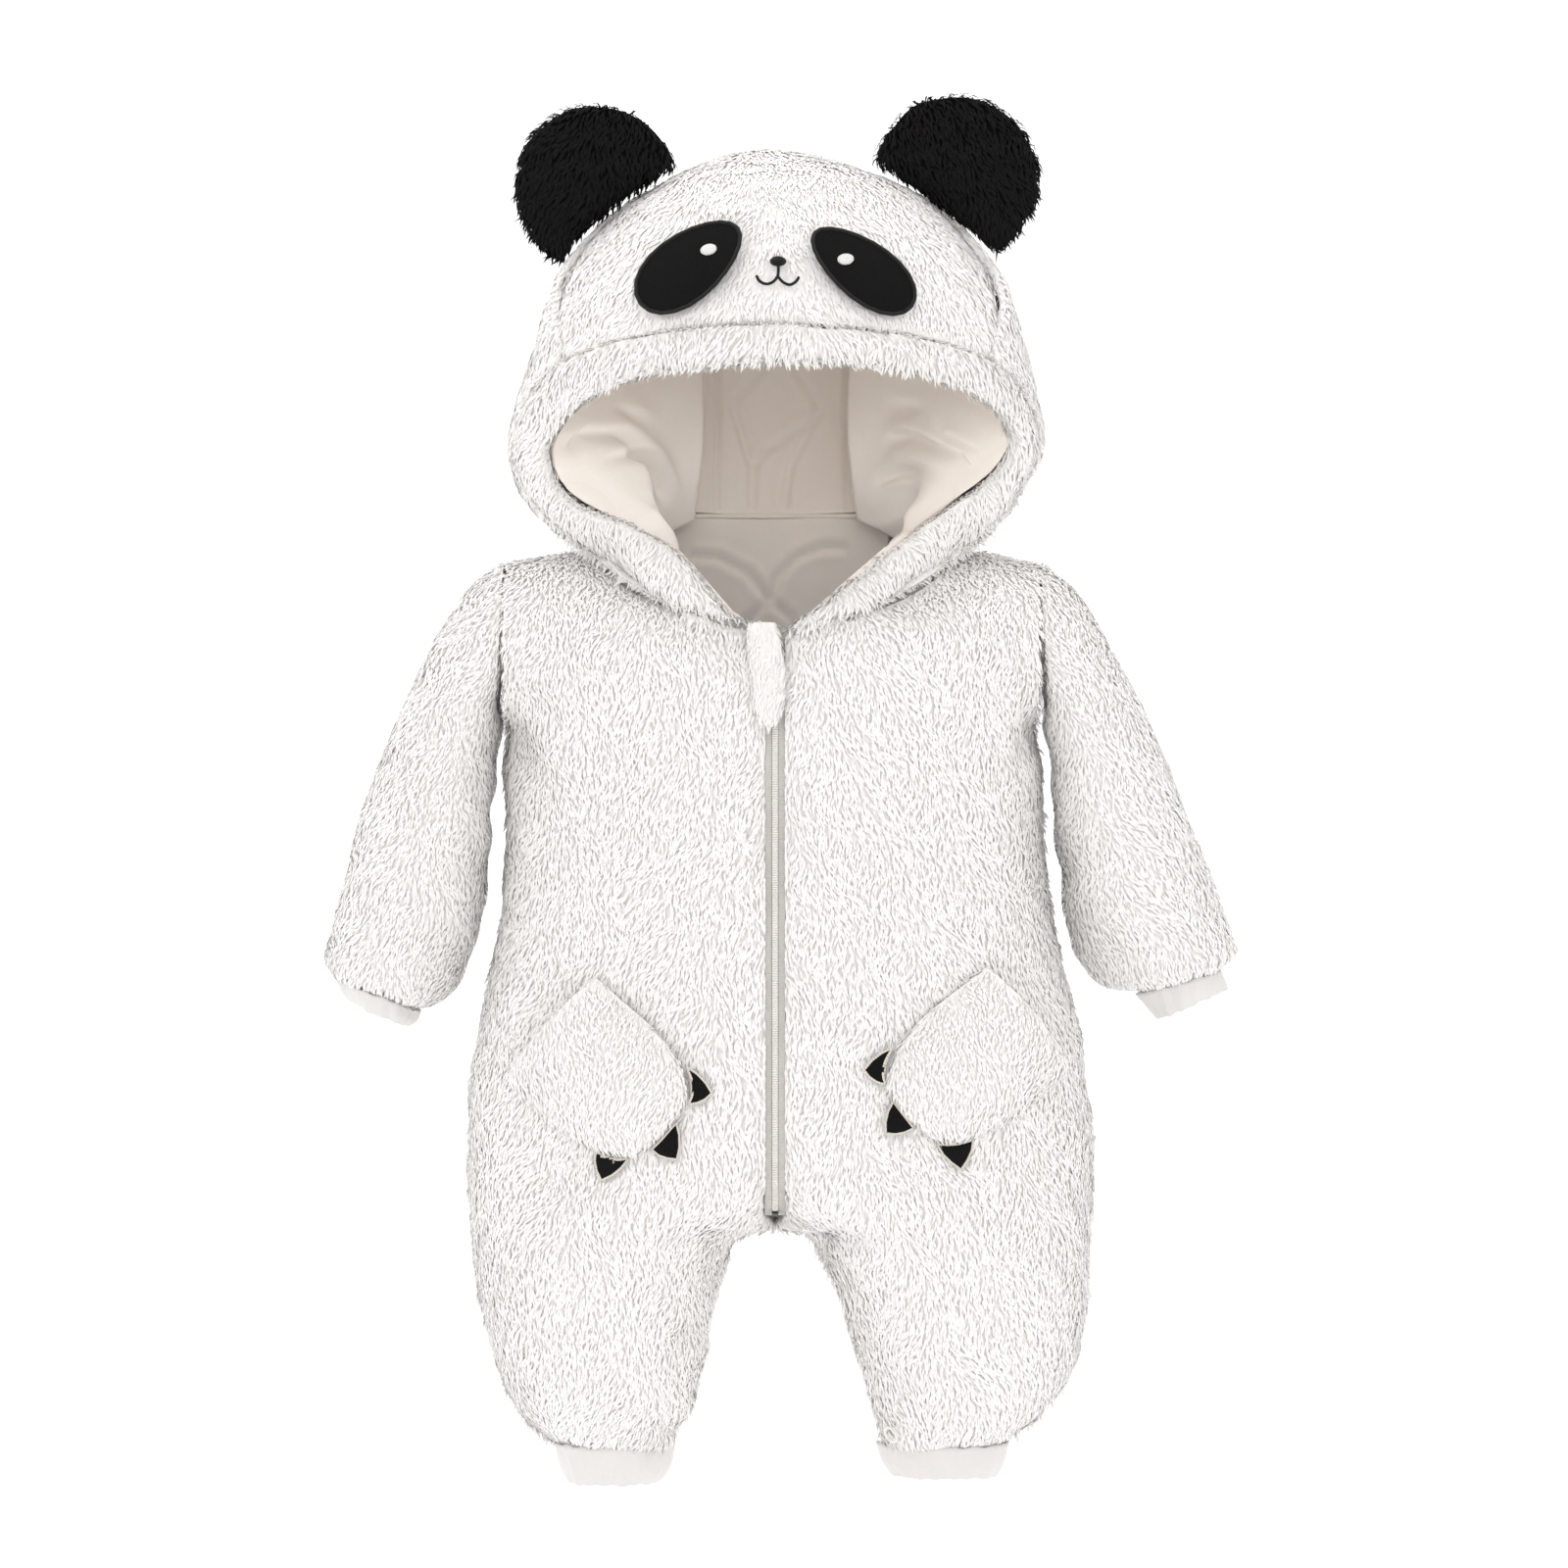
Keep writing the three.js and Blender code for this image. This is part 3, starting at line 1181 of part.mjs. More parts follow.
const TAPE_DEPTH = 3.2; // below the cloth's outer surface
const TAPE_THICK = 1.2;
const TAPE_CLEAR = 0.3; // from the tape to the coil and to the cloth
const COIL_RISE = 0.8; // how far the coil stands above the tape
const COIL_THICK = 2.2;
const BLOCK_RISE = 1.1; // how far the slider and the stop stand above the tape
const SLIDER = { upper: 8, lower: 6, height: 10, thick: 2.4, station: 2 };
const STOP = { upper: 4, lower: 4, height: 4, thick: 1.5, station: -2 };

// Stations down the zip: the middle of the front edge and the way out of the cloth there.
function zipStations() {
  const chest = steps(CHEST_ROWS).reverse().slice(0, -1).map((t) => mix(ARMPIT_Z, ZIP_TOP_Z, ease(t)));
  const heights = [...chest, ...bodyHeights.filter((z) => z > ZIP_END_Z - 1)];
  const places = heights.map((z) => {
    if (z > ARMPIT_Z) return vector(0, -chestDepth('right', 'front', ZIP_HALF, z), z);
    const turn = innerAngle('right', 'front', z);
    return vector(0, bodyPoint('right', 'front', z, turn).y, z);
  });
  return places.map((place, i) => {
    const along = places[Math.min(i + 1, places.length - 1)].clone();
    along.sub(places[Math.max(i - 1, 0)]).normalize();
    return { place, out: vector(0, along.z, -along.y) };
  });
}

function zipStrip(fromX, toX, depth, thick, stations) {
  const sections = stations.map(({ place, out }) => {
    const corner = (x, sunk) => vector(x, place.y, place.z).addScaledVector(out, -sunk);
    return [
      corner(fromX, depth),
      corner(toX, depth),
      corner(toX, depth + thick),
      corner(fromX, depth + thick),
    ];
  });
  return loft(sections);
}

function zipTape(side) {
  const inner = sign(side) * (COIL_HALF + TAPE_CLEAR);
  const outer = sign(side) * (ZIP_HALF - TAPE_CLEAR);
  return zipStrip(inner, outer, TAPE_DEPTH, TAPE_THICK, zipStations());
}

function zipCoil() {
  const stations = zipStations().slice(1, -1);
  return zipStrip(-COIL_HALF, COIL_HALF, TAPE_DEPTH - COIL_RISE, COIL_THICK, stations);
}

// A small hard piece on the coil, such as the slider and the bottom stop.
function zipBlock({ upper, lower, height, thick, station }) {
  const { place, out } = zipStations().at(station);
  const along = vector(0, out.z, -out.y);
  const back = TAPE_DEPTH - BLOCK_RISE;
  const section = (half, rise) =>
    [[-half, back], [half, back], [half, back - thick], [-half, back - thick]].map(([x, sunk]) =>
      vector(x, place.y, place.z).addScaledVector(out, -sunk).addScaledVector(along, rise),
    );
  return loft([section(upper / 2, height / 2), section(lower / 2, -height / 2)]);
}

// The plush tab that covers the slider, hanging from the throat: its middle, half width and height
// off the cloth.
const GUARD = [
  { z: -33, half: 9, x: -8, lift: 8 },
  { z: -44, half: 10.5, x: -7, lift: 7 },
  { z: -56, half: 11.5, x: -5, lift: 2 },
  { z: -72, half: 11.5, x: -4, lift: 1.2 },
  { z: -84, half: 9.5, x: -3, lift: 1.2 },
  { z: -92, half: 6.5, x: -3.5, lift: 1.2 },
  { z: -95, half: 2.5, x: -4, lift: 1.2 },
];
const GUARD_THICK = 8;
const GUARD_THIN = 0.45; // share of its thickness that the tab keeps where it is narrowest
const GUARD_FULL_HALF = 20; // and how much half width adds the rest
const GUARD_ROUND = 0.6;
const GUARD_STEPS = 9;

function zipGuard() {
  const sections = GUARD.map(({ z, half, x, lift }) => {
    const back = -chestDepth('right', 'front', ZIP_HALF, z) - lift;
    const puff = GUARD_THICK * Math.min(1, GUARD_THIN + half / GUARD_FULL_HALF);
    return steps(GUARD_STEPS).map((t) => {
      const away = Math.sin(Math.PI * t) ** GUARD_ROUND * puff;
      return vector(x + half * Math.cos(Math.PI * t), back - away, z);
    });
  });
  return loft(sections);
}

// ------------------------------------------------------------------------------------- assembly

const snowsuit = new THREE.Group();
snowsuit.name = 'baby_snowsuit';

function add(name, geometry, look) {
  const mesh = new THREE.Mesh(geometry, new THREE.MeshStandardMaterial(COLOURS[look]));
  mesh.name = name;
  snowsuit.add(mesh);
}

for (const side of ['left', 'right']) {
  for (const face of ['front', 'back']) add(`body_${face}_${side}`, bodyPanel(side, face), 'plush');
  add(`sleeve_${side}`, tube(side, SLEEVES[side], sleeveRing, PLUSH), 'plush');
  add(`sleeve_cuff_${side}`, tube(side, SLEEVE_CUFFS[side], sleeveRing, CUFF), 'fleece');
  add(`leg_cuff_${side}`, tube(side, LEG_CUFFS[side], legRing, CUFF), 'fleece');
  add(`hood_side_${side}`, hoodWall(hoodSideGrid(side)), 'plush');
  add(`lining_side_${side}`, liningSide(side), 'lining');
  add(`ear_${side}_front`, earHalf(side, -1), 'black');
  add(`ear_${side}_back`, earHalf(side, 1), 'black');
  add(`eye_patch_${side}`, eyePatch(side), 'black');
  add(`pocket_${side}`, pocket(side), 'plush');
  CLAWS[side].forEach((_, i) => add(`claw_${side}_${i + 1}`, claw(side, i), 'black'));
  add(`zip_tape_${side}`, zipTape(side), 'tape');
}
add('hood_centre', hoodWall(hoodCentreGrid()), 'plush');
add('hood_band', hoodBand(), 'plush');
add('lining_centre', liningCentre(), 'lining');
add('lining_neck', liningNeck(), 'lining');
add('zip_coil', zipCoil(), 'coil');
add('zip_slider', zipBlock(SLIDER), 'coil');
add('zip_stop', zipBlock(STOP), 'dark');
add('zip_guard', zipGuard(), 'plush');

export default snowsuit;
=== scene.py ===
"""Looks of a baby's hooded plush snowsuit: the pile, lining, cuffs, face, claws and zip.

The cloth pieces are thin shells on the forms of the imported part's nodes, with their creases pressed
in, and the plush ones carry locks of pile whose tips reach the node's own surface.
"""

import math

import bpy
import numpy as np
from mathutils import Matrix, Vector
from mathutils.bvhtree import BVHTree


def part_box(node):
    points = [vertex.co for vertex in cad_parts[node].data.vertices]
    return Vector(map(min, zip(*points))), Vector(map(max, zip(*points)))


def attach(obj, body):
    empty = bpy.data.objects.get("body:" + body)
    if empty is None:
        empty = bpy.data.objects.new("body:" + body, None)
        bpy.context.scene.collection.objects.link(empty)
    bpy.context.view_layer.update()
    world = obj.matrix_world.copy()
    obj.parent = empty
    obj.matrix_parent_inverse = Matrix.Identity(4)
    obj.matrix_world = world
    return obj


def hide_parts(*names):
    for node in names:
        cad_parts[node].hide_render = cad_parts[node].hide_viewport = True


bl_info = {
    "name": "Plush Snowsuit",
    "version": (1, 0, 0),
    "blender": (4, 5, 0),
    "location": "3D View > Sidebar > Snowsuit",
    "description": "Builds the pile, lining, cuffs, face, claws and zip of a baby's snowsuit",
    "category": "Object",
}

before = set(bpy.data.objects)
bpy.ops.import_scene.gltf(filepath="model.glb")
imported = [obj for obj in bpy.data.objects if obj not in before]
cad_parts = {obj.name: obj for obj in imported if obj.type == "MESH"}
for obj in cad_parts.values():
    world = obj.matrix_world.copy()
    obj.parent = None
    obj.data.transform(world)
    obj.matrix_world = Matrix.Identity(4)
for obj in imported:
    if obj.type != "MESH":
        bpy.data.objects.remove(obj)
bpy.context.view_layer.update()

SIDES = ("left", "right")
CLAWS = (1, 2, 3)
WHITE_PLUSH = (
    [f"body_{face}_{side}" for face in ("front", "back") for side in SIDES]
    + [f"sleeve_{side}" for side in SIDES]
    + [f"hood_side_{side}" for side in SIDES]
    + ["hood_centre", "hood_band", "zip_guard"]
    + [f"pocket_{side}" for side in SIDES]
)
EARS = [f"ear_{side}_{face}" for side in SIDES for face in ("front", "back")]

# Corners nearer than this are one. Edges that turn by more than the angle are a wall's rims, and
# keep this much of their crease when the wall is rounded off.
MERGE = 1e-5
RIM_ANGLE = math.radians(48)
RIM_CREASE = 0.9
# How closely two triangles must agree, in shape and lie, to be joined to one face.
QUAD_LIE, QUAD_SHAPE = 1.2, 1.6

# How far the cloth under the pile lies below the node's surface, and the pile's length, lift and
# width against the suit's.
PILE_STYLES = {
    "body": {"drop": 0.0028, "length": 1.0, "lift": 1.0, "width": 1.0},
    "sleeve": {"drop": 0.0028, "length": 0.95, "lift": 1.0, "width": 0.95},
    "hood": {"drop": 0.0028, "length": 0.95, "lift": 0.6, "width": 1.0},
    "band": {"drop": 0.0026, "length": 1.05, "lift": 0.9, "width": 1.0},
    "pocket": {"drop": 0.0022, "length": 0.85, "lift": 0.8, "width": 0.9},
    "guard": {"drop": 0.0008, "length": 0.75, "lift": 0.5, "width": 0.7},
    "ear": {"drop": 0.0032, "length": 1.2, "lift": 1.6, "width": 1.05},
}
# A lock's corners: two at its foot, two at its bend and the tip. How high up each is, how far along
# and up the bend lies, the foot's width against the bend's, and how far the shading leans aside at
# the foot and the bend and forward at the tip, which rounds the lock.
LOCK_FACES = np.array([[0, 1, 3], [0, 3, 2], [2, 3, 4]])
LOCK_RISE = np.array([0.0, 0.0, 0.55, 0.55, 1.0])
BEND_ALONG, BEND_UP, BEND_SWAY = 0.42, 0.86, 0.3
FOOT_WIDTH, FOOT_SUNK = 0.7, 0.0004
LEAN_FOOT, LEAN_BEND, LEAN_TIP = 0.06, 0.11, 0.08
# The pile's height where it is pressed short, and how far from a patch's edge no lock starts, as a
# share of a lock's length.
PRESSED_SHORT = 0.35
PATCH_CLEARANCE = 0.6

# The way from the front into the suit, the way out of it, and a depth clear in front of it.
INWARD, OUTWARD = Vector((0, 1, 0)), Vector((0, -1, 0))
CLEAR_Y = -0.3
# The middles of the trunk, a leg, a sleeve from its top to its end, and the hood, from which the
# cloth faces outward, and how far down the trunk goes over into the legs.
TRUNK_TOP, TRUNK_END, TRUNK_NARROW = -0.05, -0.35, 0.6
LEG_X, LEGS_FROM, LEGS_FULL = 0.097, 0.375, 0.43
SLEEVE_TOP, SLEEVE_END = (0.165, 0, -0.04), (0.24, 0, -0.25)
HOOD_MIDDLE_Y, HOOD_MIDDLE_Z = 0.015, 0.11
LINING_HEART = (0.0, -0.02, 0.07)
# Where the sleeve's head meets the body, and how wide and deep its corner is let down.
SHOULDER_X, SHOULDER_WIDE, SHOULDER_DROP = 0.161, 0.020, 0.0045
# The corner on each side where the hood's centre, side and band meet: its middle, half its width,
# length and thickness, how deep it lies, and the ways along it and out of it on the right.
HOOD_CORNERS = {"left": (-0.131, -0.029, 0.130), "right": (0.133, -0.031, 0.130)}
CORNER_SIZE = (0.012, 0.022, 0.005)
CORNER_DROP = 0.0065
CORNER_UP, CORNER_OUT = (-0.058, 0.418, 0.907), (0.795, -0.530, 0.295)
# The seam under the throat, from either end to the zip, in millimetres as seen from the front, the
# thickness of its turned-in plush, and how far this lies down and back from the panel's edge.
THROAT = {
    "left": [(-54, -28.5), (-45, -31.5), (-38, -34.5), (-30, -37.5), (-22, -39), (-15, -40)],
    "right": [(8, -40.5), (12, -39), (17, -38), (24, -36.5), (33, -34.5), (42, -32)],
}
THROAT_RADIUS, THROAT_DOWN, THROAT_BACK = 0.0032, 0.006, 0.0052
# The half width that the pile leaves free over the zip's tapes, and their two ends.
ZIP_EDGE = 0.0062
ZIP_LOW, ZIP_HIGH = -0.383, -0.045

# Creases pressed into the plush, by the face of the suit that has them: from x, z to x, z seen from
# the front, half width and depth, in millimetres. They reach this far round the suit's sides.
SIDE_REACH = 0.01
CREASES = {
    "body": {
        "front": [
            (-110, 2, -48, -31, 8, 5.0),
            (112, -2, 57, -29, 8, 4.5),
            (-162, -88, -138, -118, 8, 3.5),
            (160, -84, 141, -112, 8, 3.0),
            (-152, -70, -128, -84, 7, 2.2),
            (-44, -448, -60, -452, 6, 4.0),
            (-54, -512, -68, -505, 6, 4.0),
            (32, -391, 52, -398, 6, 3.6),
            (-26, -380, -70, -398, 9, 2.4),
            (24, -384, 78, -408, 9, 2.0),
            (-70, -428, -146, -436, 12, 2.0),
            (-84, -466, -158, -460, 10, 1.8),
            (72, -470, 150, -478, 10, 1.6),
            (-178, -268, -160, -300, 10, 2.0),
            (186, -300, 168, -330, 10, 2.0),
        ],
        "back": [
            (-120, -12, -60, -2, 9, 3.0),
            (118, -10, 56, -4, 9, 3.0),
            (-158, -92, -120, -130, 9, 3.0),
            (156, -90, 122, -124, 9, 3.0),
            (-10, -352, -92, -372, 11, 3.6),
            (12, -356, 98, -368, 11, 3.2),
            (-72, -440, -150, -452, 10, 2.6),
            (70, -446, 156, -440, 10, 2.6),
            (-40, -190, -120, -206, 14, 2.0),
            (36, -222, 130, -210, 14, 2.0),
        ],
    },
    "sleeve": {
        "front": [
            (-168, -112, -196, -100, 8, 3.6),
            (165, -112, 192, -98, 8, 3.6),
            (-170, -176, -206, -166, 9, 2.4),
            (170, -180, 208, -172, 9, 2.4),
            (-186, -232, -226, -226, 8, 2.2),
            (196, -234, 240, -222, 8, 2.2),
        ],
        "back": [
            (-172, -142, -218, -128, 9, 3.0),
            (172, -144, 220, -134, 9, 3.0),
            (-184, -206, -232, -198, 9, 2.2),
            (186, -210, 236, -196, 9, 2.2),
        ],
    },
    "hood": {
        "front": [
            (84, 150, 128, 116, 9, 2.2),
            (-92, 146, -124, 122, 9, 1.8),
        ],
        "back": [
            (-110, 62, -60, 48, 12, 3.0),
            (112, 58, 52, 52, 12, 3.0),
        ],
    },
}

# The lining's folds and quilting lines: half width, depth and the line seen from the front, in
# millimetres.
LINING_LINES = {
    "lining_side_left": [
        (3.6, 6.8, [(-128, 67), (-112, 80), (-91, 81), (-76, 67), (-64, 39)]),
        (3.1, 4.5, [(-105, 57), (-93, 67), (-78, 68), (-70, 51)]),
        (3.6, 3.8, [(-118, 44), (-96, 38), (-78, 22), (-62, 2)]),
        (3.6, 3.9, [(-98, 100), (-84, 92), (-74, 84)]),
    ],
    "lining_side_right": [
        (3.6, 6.8, [(63, 80), (81, 80), (106, 68), (120, 53)]),
        (3.1, 3.8, [(57, 53), (75, 59), (92, 58)]),
        (3.1, 5.1, [(94, 88), (100, 80), (127, 65)]),
        (3.1, 4.5, [(52, 22), (67, 21), (81, 26), (92, 36)]),
        (3.6, 3.6, [(66, 104), (80, 98), (92, 96)]),
    ],
    "lining_centre": [
        (2.3, 2.4, [(-27, 106), (-14, 65), (-14, 40)]),
        (2.3, 2.4, [(28, 103), (9, 68), (5, 40)]),
        (2.3, 2.1, [(25, 97), (-6, 77), (-14, 65)]),
        (1.6, 2.7, [(-36, 38), (-36, 120), (-40, 190)]),
        (1.6, 2.7, [(44, 38), (44, 120), (46, 190)]),
        (2.3, 2.1, [(-27, 106), (-2, 134), (26, 168)]),
        (2.3, 2.1, [(28, 103), (4, 140), (-24, 172)]),
    ],
    "lining_neck": [
        (2.5, 2.7, [(-50, 10), (-33, 10), (-16, 1), (-4, -17)]),
        (2.5, 2.7, [(42, 16), (28, 16), (13, 10), (2, -1), (-3, -17)]),
        (2.5, 2.4, [(-4, -17), (-22, -34)]),
        (2.5, 2.4, [(-3, -17), (18, -34)]),
    ],
}

# How much wider than its cloth the lining's neck is spread, and the seam at its nape: half its
# length, its middle's y and z, how far its ends come forward and the radius of its stitching.
NECK_SPREAD = 1.06
NAPE_HALF, NAPE_Y, NAPE_Z = 0.062, 0.0620, 0.0353
NAPE_BOW, NAPE_REACH, NAPE_RADIUS = 0.007, 0.064, 0.0015

# The cuffs' gathers: how many there are all round, and how deep they and the slow waves are.
GATHERS, GATHER_DEEP, CUFF_WAVE = 17, 0.0005, 0.0006

# The face's white glints and black nose and mouth, in millimetres as seen from the front.
GLINTS = {
    "left": {"x": -38.9, "z": 185.0, "long": 4.4, "short": 2.8, "turn": 12},
    "right": {"x": 41.2, "z": 179.2, "long": 4.4, "short": 2.8, "turn": 8},
}
NOSE = {"x": 1.7, "z": 178.0, "long": 4.2, "short": 2.4, "turn": 0}
MOUTH = [
    [(1.7, 176.0), (1.9, 172.0), (1.5, 168.5)],
    [(-11.0, 169.5), (-9.0, 166.0), (-5.0, 164.2), (-1.0, 165.6), (1.5, 168.8)],
    [(1.5, 168.8), (4.5, 165.4), (8.5, 163.8), (12.0, 165.6), (14.0, 168.6)],
]
# The snap at one leg's hem: its place as seen from the front, its radius and its ring's, and how
# far it stands off the cloth, in millimetres.
SNAP = {"x": 69.0, "z": -514.0, "radius": 4.6, "ring": 1.1, "off": 0.3}

# The studio's lamps: place, what each is aimed at, width and power.
LAMPS = {
    "key": ((-1.6, -2.4, 1.9), (0, 0, -0.05), 1.6, 8.5),
    "front": ((0.3, -3.3, 0.5), (0, 0, -0.1), 1.2, 8.8),
    "side": ((2.2, -1.2, 0.9), (0, 0, -0.1), 1.4, 4),
    "rim": ((-2.0, 0.9, 1.2), (0, 0, -0.1), 1.2, 12),
    "paper_wash": ((0.0, 1.0, 3.2), (0, 2.6, 0.0), 3.0, 70),
}
# The camera's film width, in millimetres, the width of the view at the suit, in metres, and the
# middle of that view.
FILM = 36.0
VIEW_WIDTH = 0.928
VIEW_MIDDLE = (0.0052, -0.04, -0.1276)

# What is made once and then shared: the nodes' surfaces, the shader groups and the finishes.
TREES, GROUPS, FINISHES = {}, {}, {}


# ------------------------------------------------------------------------------- small helpers


def smooth(low, high, value):
    """0 below low, 1 above high, and a soft step between them."""
    t = np.clip((value - low) / (high - low), 0, 1)
    return t * t * (3 - 2 * t)


def unit(vectors):
    """Each row of an array of vectors, at length 1."""
    return vectors / np.maximum(np.linalg.norm(vectors, axis=1, keepdims=True), 1e-9)


def points_of(mesh):
    points = np.zeros(len(mesh.vertices) * 3)
    mesh.vertices.foreach_get("co", points)
    return points.reshape(-1, 3)


def normals_of(mesh):
    normals = np.zeros(len(mesh.vertices) * 3)
    mesh.vertex_normals.foreach_get("vector", normals)
    return normals.reshape(-1, 3)


def triangles_of(mesh):
    mesh.calc_loop_triangles()
    corners = np.zeros(len(mesh.loop_triangles) * 3, np.int64)
    mesh.loop_triangles.foreach_get("vertices", corners)
    return corners.reshape(-1, 3)


def set_points(mesh, points):
    mesh.vertices.foreach_set("co", points.astype(np.float32).ravel())
    mesh.update()


def keep(mesh, name, values, domain="POINT"):
    """Stores a number on each of a mesh's corners or edges."""
    store = mesh.attributes.new(name, "FLOAT", domain)
    store.data.foreach_set("value", values.astype(np.float32))


def added(name, data):
    """A new object in the scene."""
    thing = bpy.data.objects.new(name, data)
    bpy.context.scene.collection.objects.link(thing)
    return thing


def new_piece(name, points, faces, material):
    """An object of its own from points and faces, smooth shaded, riding on the suit."""
    mesh = bpy.data.meshes.new(name)
    mesh.from_pydata([tuple(p) for p in points], [], [tuple(f) for f in faces])
    mesh.update()
    mesh.shade_smooth()
    piece = added(name, mesh)
    mesh.materials.append(material)
    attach(piece, "root")
    return piece


def pick_only(piece):
    bpy.ops.object.select_all(action="DESELECT")
    piece.select_set(True)
    bpy.context.view_layer.objects.active = piece


def out_again(piece):
    """Turns a closed piece's faces outwards."""
    pick_only(piece)
    bpy.ops.object.mode_set(mode="EDIT")
    bpy.ops.mesh.select_all(action="SELECT")
    bpy.ops.mesh.normals_make_consistent(inside=False)
    bpy.ops.object.mode_set(mode="OBJECT")


def merged(mesh):
    """A mesh's points with those at one place made one, and its triangles between them."""
    points = points_of(mesh)
    _, first, place = np.unique(
        np.round(points / MERGE).astype(np.int64), axis=0, return_index=True, return_inverse=True
    )
    return points[first], place.reshape(-1)[triangles_of(mesh)]


def tree_of(node):
    """A node's surface, to be met by a line or searched for its nearest place."""
    if node not in TREES:
        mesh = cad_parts[node].data
        points = [Vector(p) for p in points_of(mesh)]
        TREES[node] = BVHTree.FromPolygons(points, triangles_of(mesh).tolist())
    return TREES[node]


def front_point(x, z, nodes):
    """Where a line from the front first meets the named nodes at x and z, and its normal there."""
    best = None
    for node in nodes:
        hit = tree_of(node).ray_cast(Vector((x, CLEAR_Y, z)), INWARD)
        if hit[0] is not None and (best is None or hit[0].y < best[0].y):
            best = (hit[0], hit[1])
    if best is None:
        raise RuntimeError(f"nothing at {x:.3f}, {z:.3f}")
    place, normal = best
    return place, normal if normal.y < 0 else -normal


def nearest_on(node, points):
    """For each point the nearest one of a node's surface, and its distance."""
    found = [tree_of(node).find_nearest(Vector(p)) for p in points]
    return np.array([tuple(hit[0]) for hit in found]), np.array([hit[3] for hit in found])


def beside(points, start, end):
    """Distance from a straight line seen from the front, and how far along it each point is, from
    0 to 1."""
    run = end - start
    flat = points[:, [0, 2]] - start
    along = np.clip(flat @ run / (run @ run), 0, 1)
    return np.linalg.norm(flat - along[:, None] * run, axis=1), along


def inside(points, outline):
    """Whether each point lies within a closed outline, seen from the front."""
    x, z = points[:, 0], points[:, 2]
    found = np.zeros(len(points), bool)
    for (x0, z0), (x1, z1) in zip(outline, np.roll(outline, -1, axis=0)):
        if z0 != z1:
            found ^= ((z0 > z) != (z1 > z)) & (x < (x1 - x0) * (z - z0) / (z1 - z0) + x0)
    return found


def ripple(points, scale, seed):
    """A slow, smooth unevenness between about -1 and 1."""
    rng = np.random.default_rng(seed)
    total = np.zeros(len(points))
    for _ in range(4):
        way = rng.normal(size=3)
        way /= np.linalg.norm(way)
        length = scale * rng.uniform(0.7, 1.6)
        total += np.sin(points @ way * 2 * np.pi / length + rng.uniform(0, 6.3))
    return total / 2.4


def curve_through(row, parts):
    """A smooth line through the row's points, with so many parts between each two."""
    found = []
    for i in range(len(row) - 1):
        before, start = np.array(row[max(i - 1, 0)]), np.array(row[i])
        end, after = np.array(row[i + 1]), np.array(row[min(i + 2, len(row) - 1)])
        for k in range(parts):
            t = k / parts
            line = 2 * start + (end - before) * t
            line = line + (2 * before - 5 * start + 4 * end - after) * t**2
            found.append(0.5 * (line + (3 * start - before - 3 * end + after) * t**3))
    found.append(np.array(row[-1]))
    return found


# ------------------------------------------------------------------------------- the suit's form


def style_of(node):
    """Which of the pile's styles a node has."""
    return {"body": "body", "slee": "sleeve", "pock": "pocket", "zip_": "guard", "ear_": "ear"}.get(
        node[:4], "band" if node == "hood_band" else "hood"
    )


def outward(node, points):
    """Unit directions from the middle of the limb, trunk or hood out through each point."""
    x, y, z = points.T
    style = style_of(node)
    if style == "body":
        leg = smooth(LEGS_FROM, LEGS_FULL, -z)
        middle_x = x * TRUNK_NARROW * (1 - leg) + np.sign(x) * LEG_X * leg
        middle_z = np.minimum(z * leg + np.maximum(z, TRUNK_END) * (1 - leg), TRUNK_TOP)
        middle = np.stack([middle_x, np.zeros_like(x), middle_z], axis=1)
    elif style == "sleeve":
        mirror = np.array([1 if node.endswith("right") else -1, 1, 1])
        top, end = mirror * SLEEVE_TOP, mirror * SLEEVE_END
        along = np.clip((points - top) @ (end - top) / ((end - top) @ (end - top)), -0.2, 1.2)
        middle = top + along[:, None] * (end - top)
    elif style == "hood":
        middle = np.stack([x * 0, x * 0 + HOOD_MIDDLE_Y, np.minimum(z, HOOD_MIDDLE_Z)], axis=1)
    elif style == "pocket":
        centre = points.mean(axis=0)
        middle = np.stack([x * 0.5 + centre[0] * 0.5, y + 0.05, z * 0.5 + centre[2] * 0.5], axis=1)
    else:
        middle = np.repeat(points.mean(axis=0)[None], len(points), axis=0)
    return unit(points - middle)


def faces_out(node, points, normals):
    """1 on the side of a wall that shows its pile, 0 on its back and edges."""
    style = style_of(node)
    if style == "band":
        return smooth(-0.6, -0.3, -normals[:, 1])
    if style == "guard":
        return smooth(-0.5, 0.0, -normals[:, 1])
    if style == "ear":
        inward = normals[:, 1] * (1 if node.endswith("front") else -1)
        return smooth(-0.9, -0.5, -inward)
    return smooth(0.15, 0.5, (normals * outward(node, points)).sum(axis=1))


def grows(node, points, normals):
    """1 where pile grows: on the shown side and over the wall's edges, which close the seams."""
    if style_of(node) in ("band", "guard", "ear"):
        return faces_out(node, points, normals)
    return smooth(-0.45, -0.05, (normals * outward(node, points)).sum(axis=1))


def pressed(node, points):
    """The points with the creases of their panel pressed in."""
    out = outward(node, points)
    depth = np.zeros(len(points))
    for face, rows in CREASES.get(style_of(node), {}).items():
        there = points[:, 1] < SIDE_REACH if face == "front" else points[:, 1] > -SIDE_REACH
        for x0, z0, x1, z1, wide, deep in np.array(rows) / 1000:
            away, along = beside(points, np.array([x0, z0]), np.array([x1, z1]))
            trough = np.exp(-((away / wide) ** 2))
            lip = 0.35 * np.exp(-(((away - 2 * wide) / wide) ** 2))
            depth += deep * (trough - lip) * np.sin(np.pi * (0.15 + 0.7 * along)) * there
    return points - out * depth[:, None]


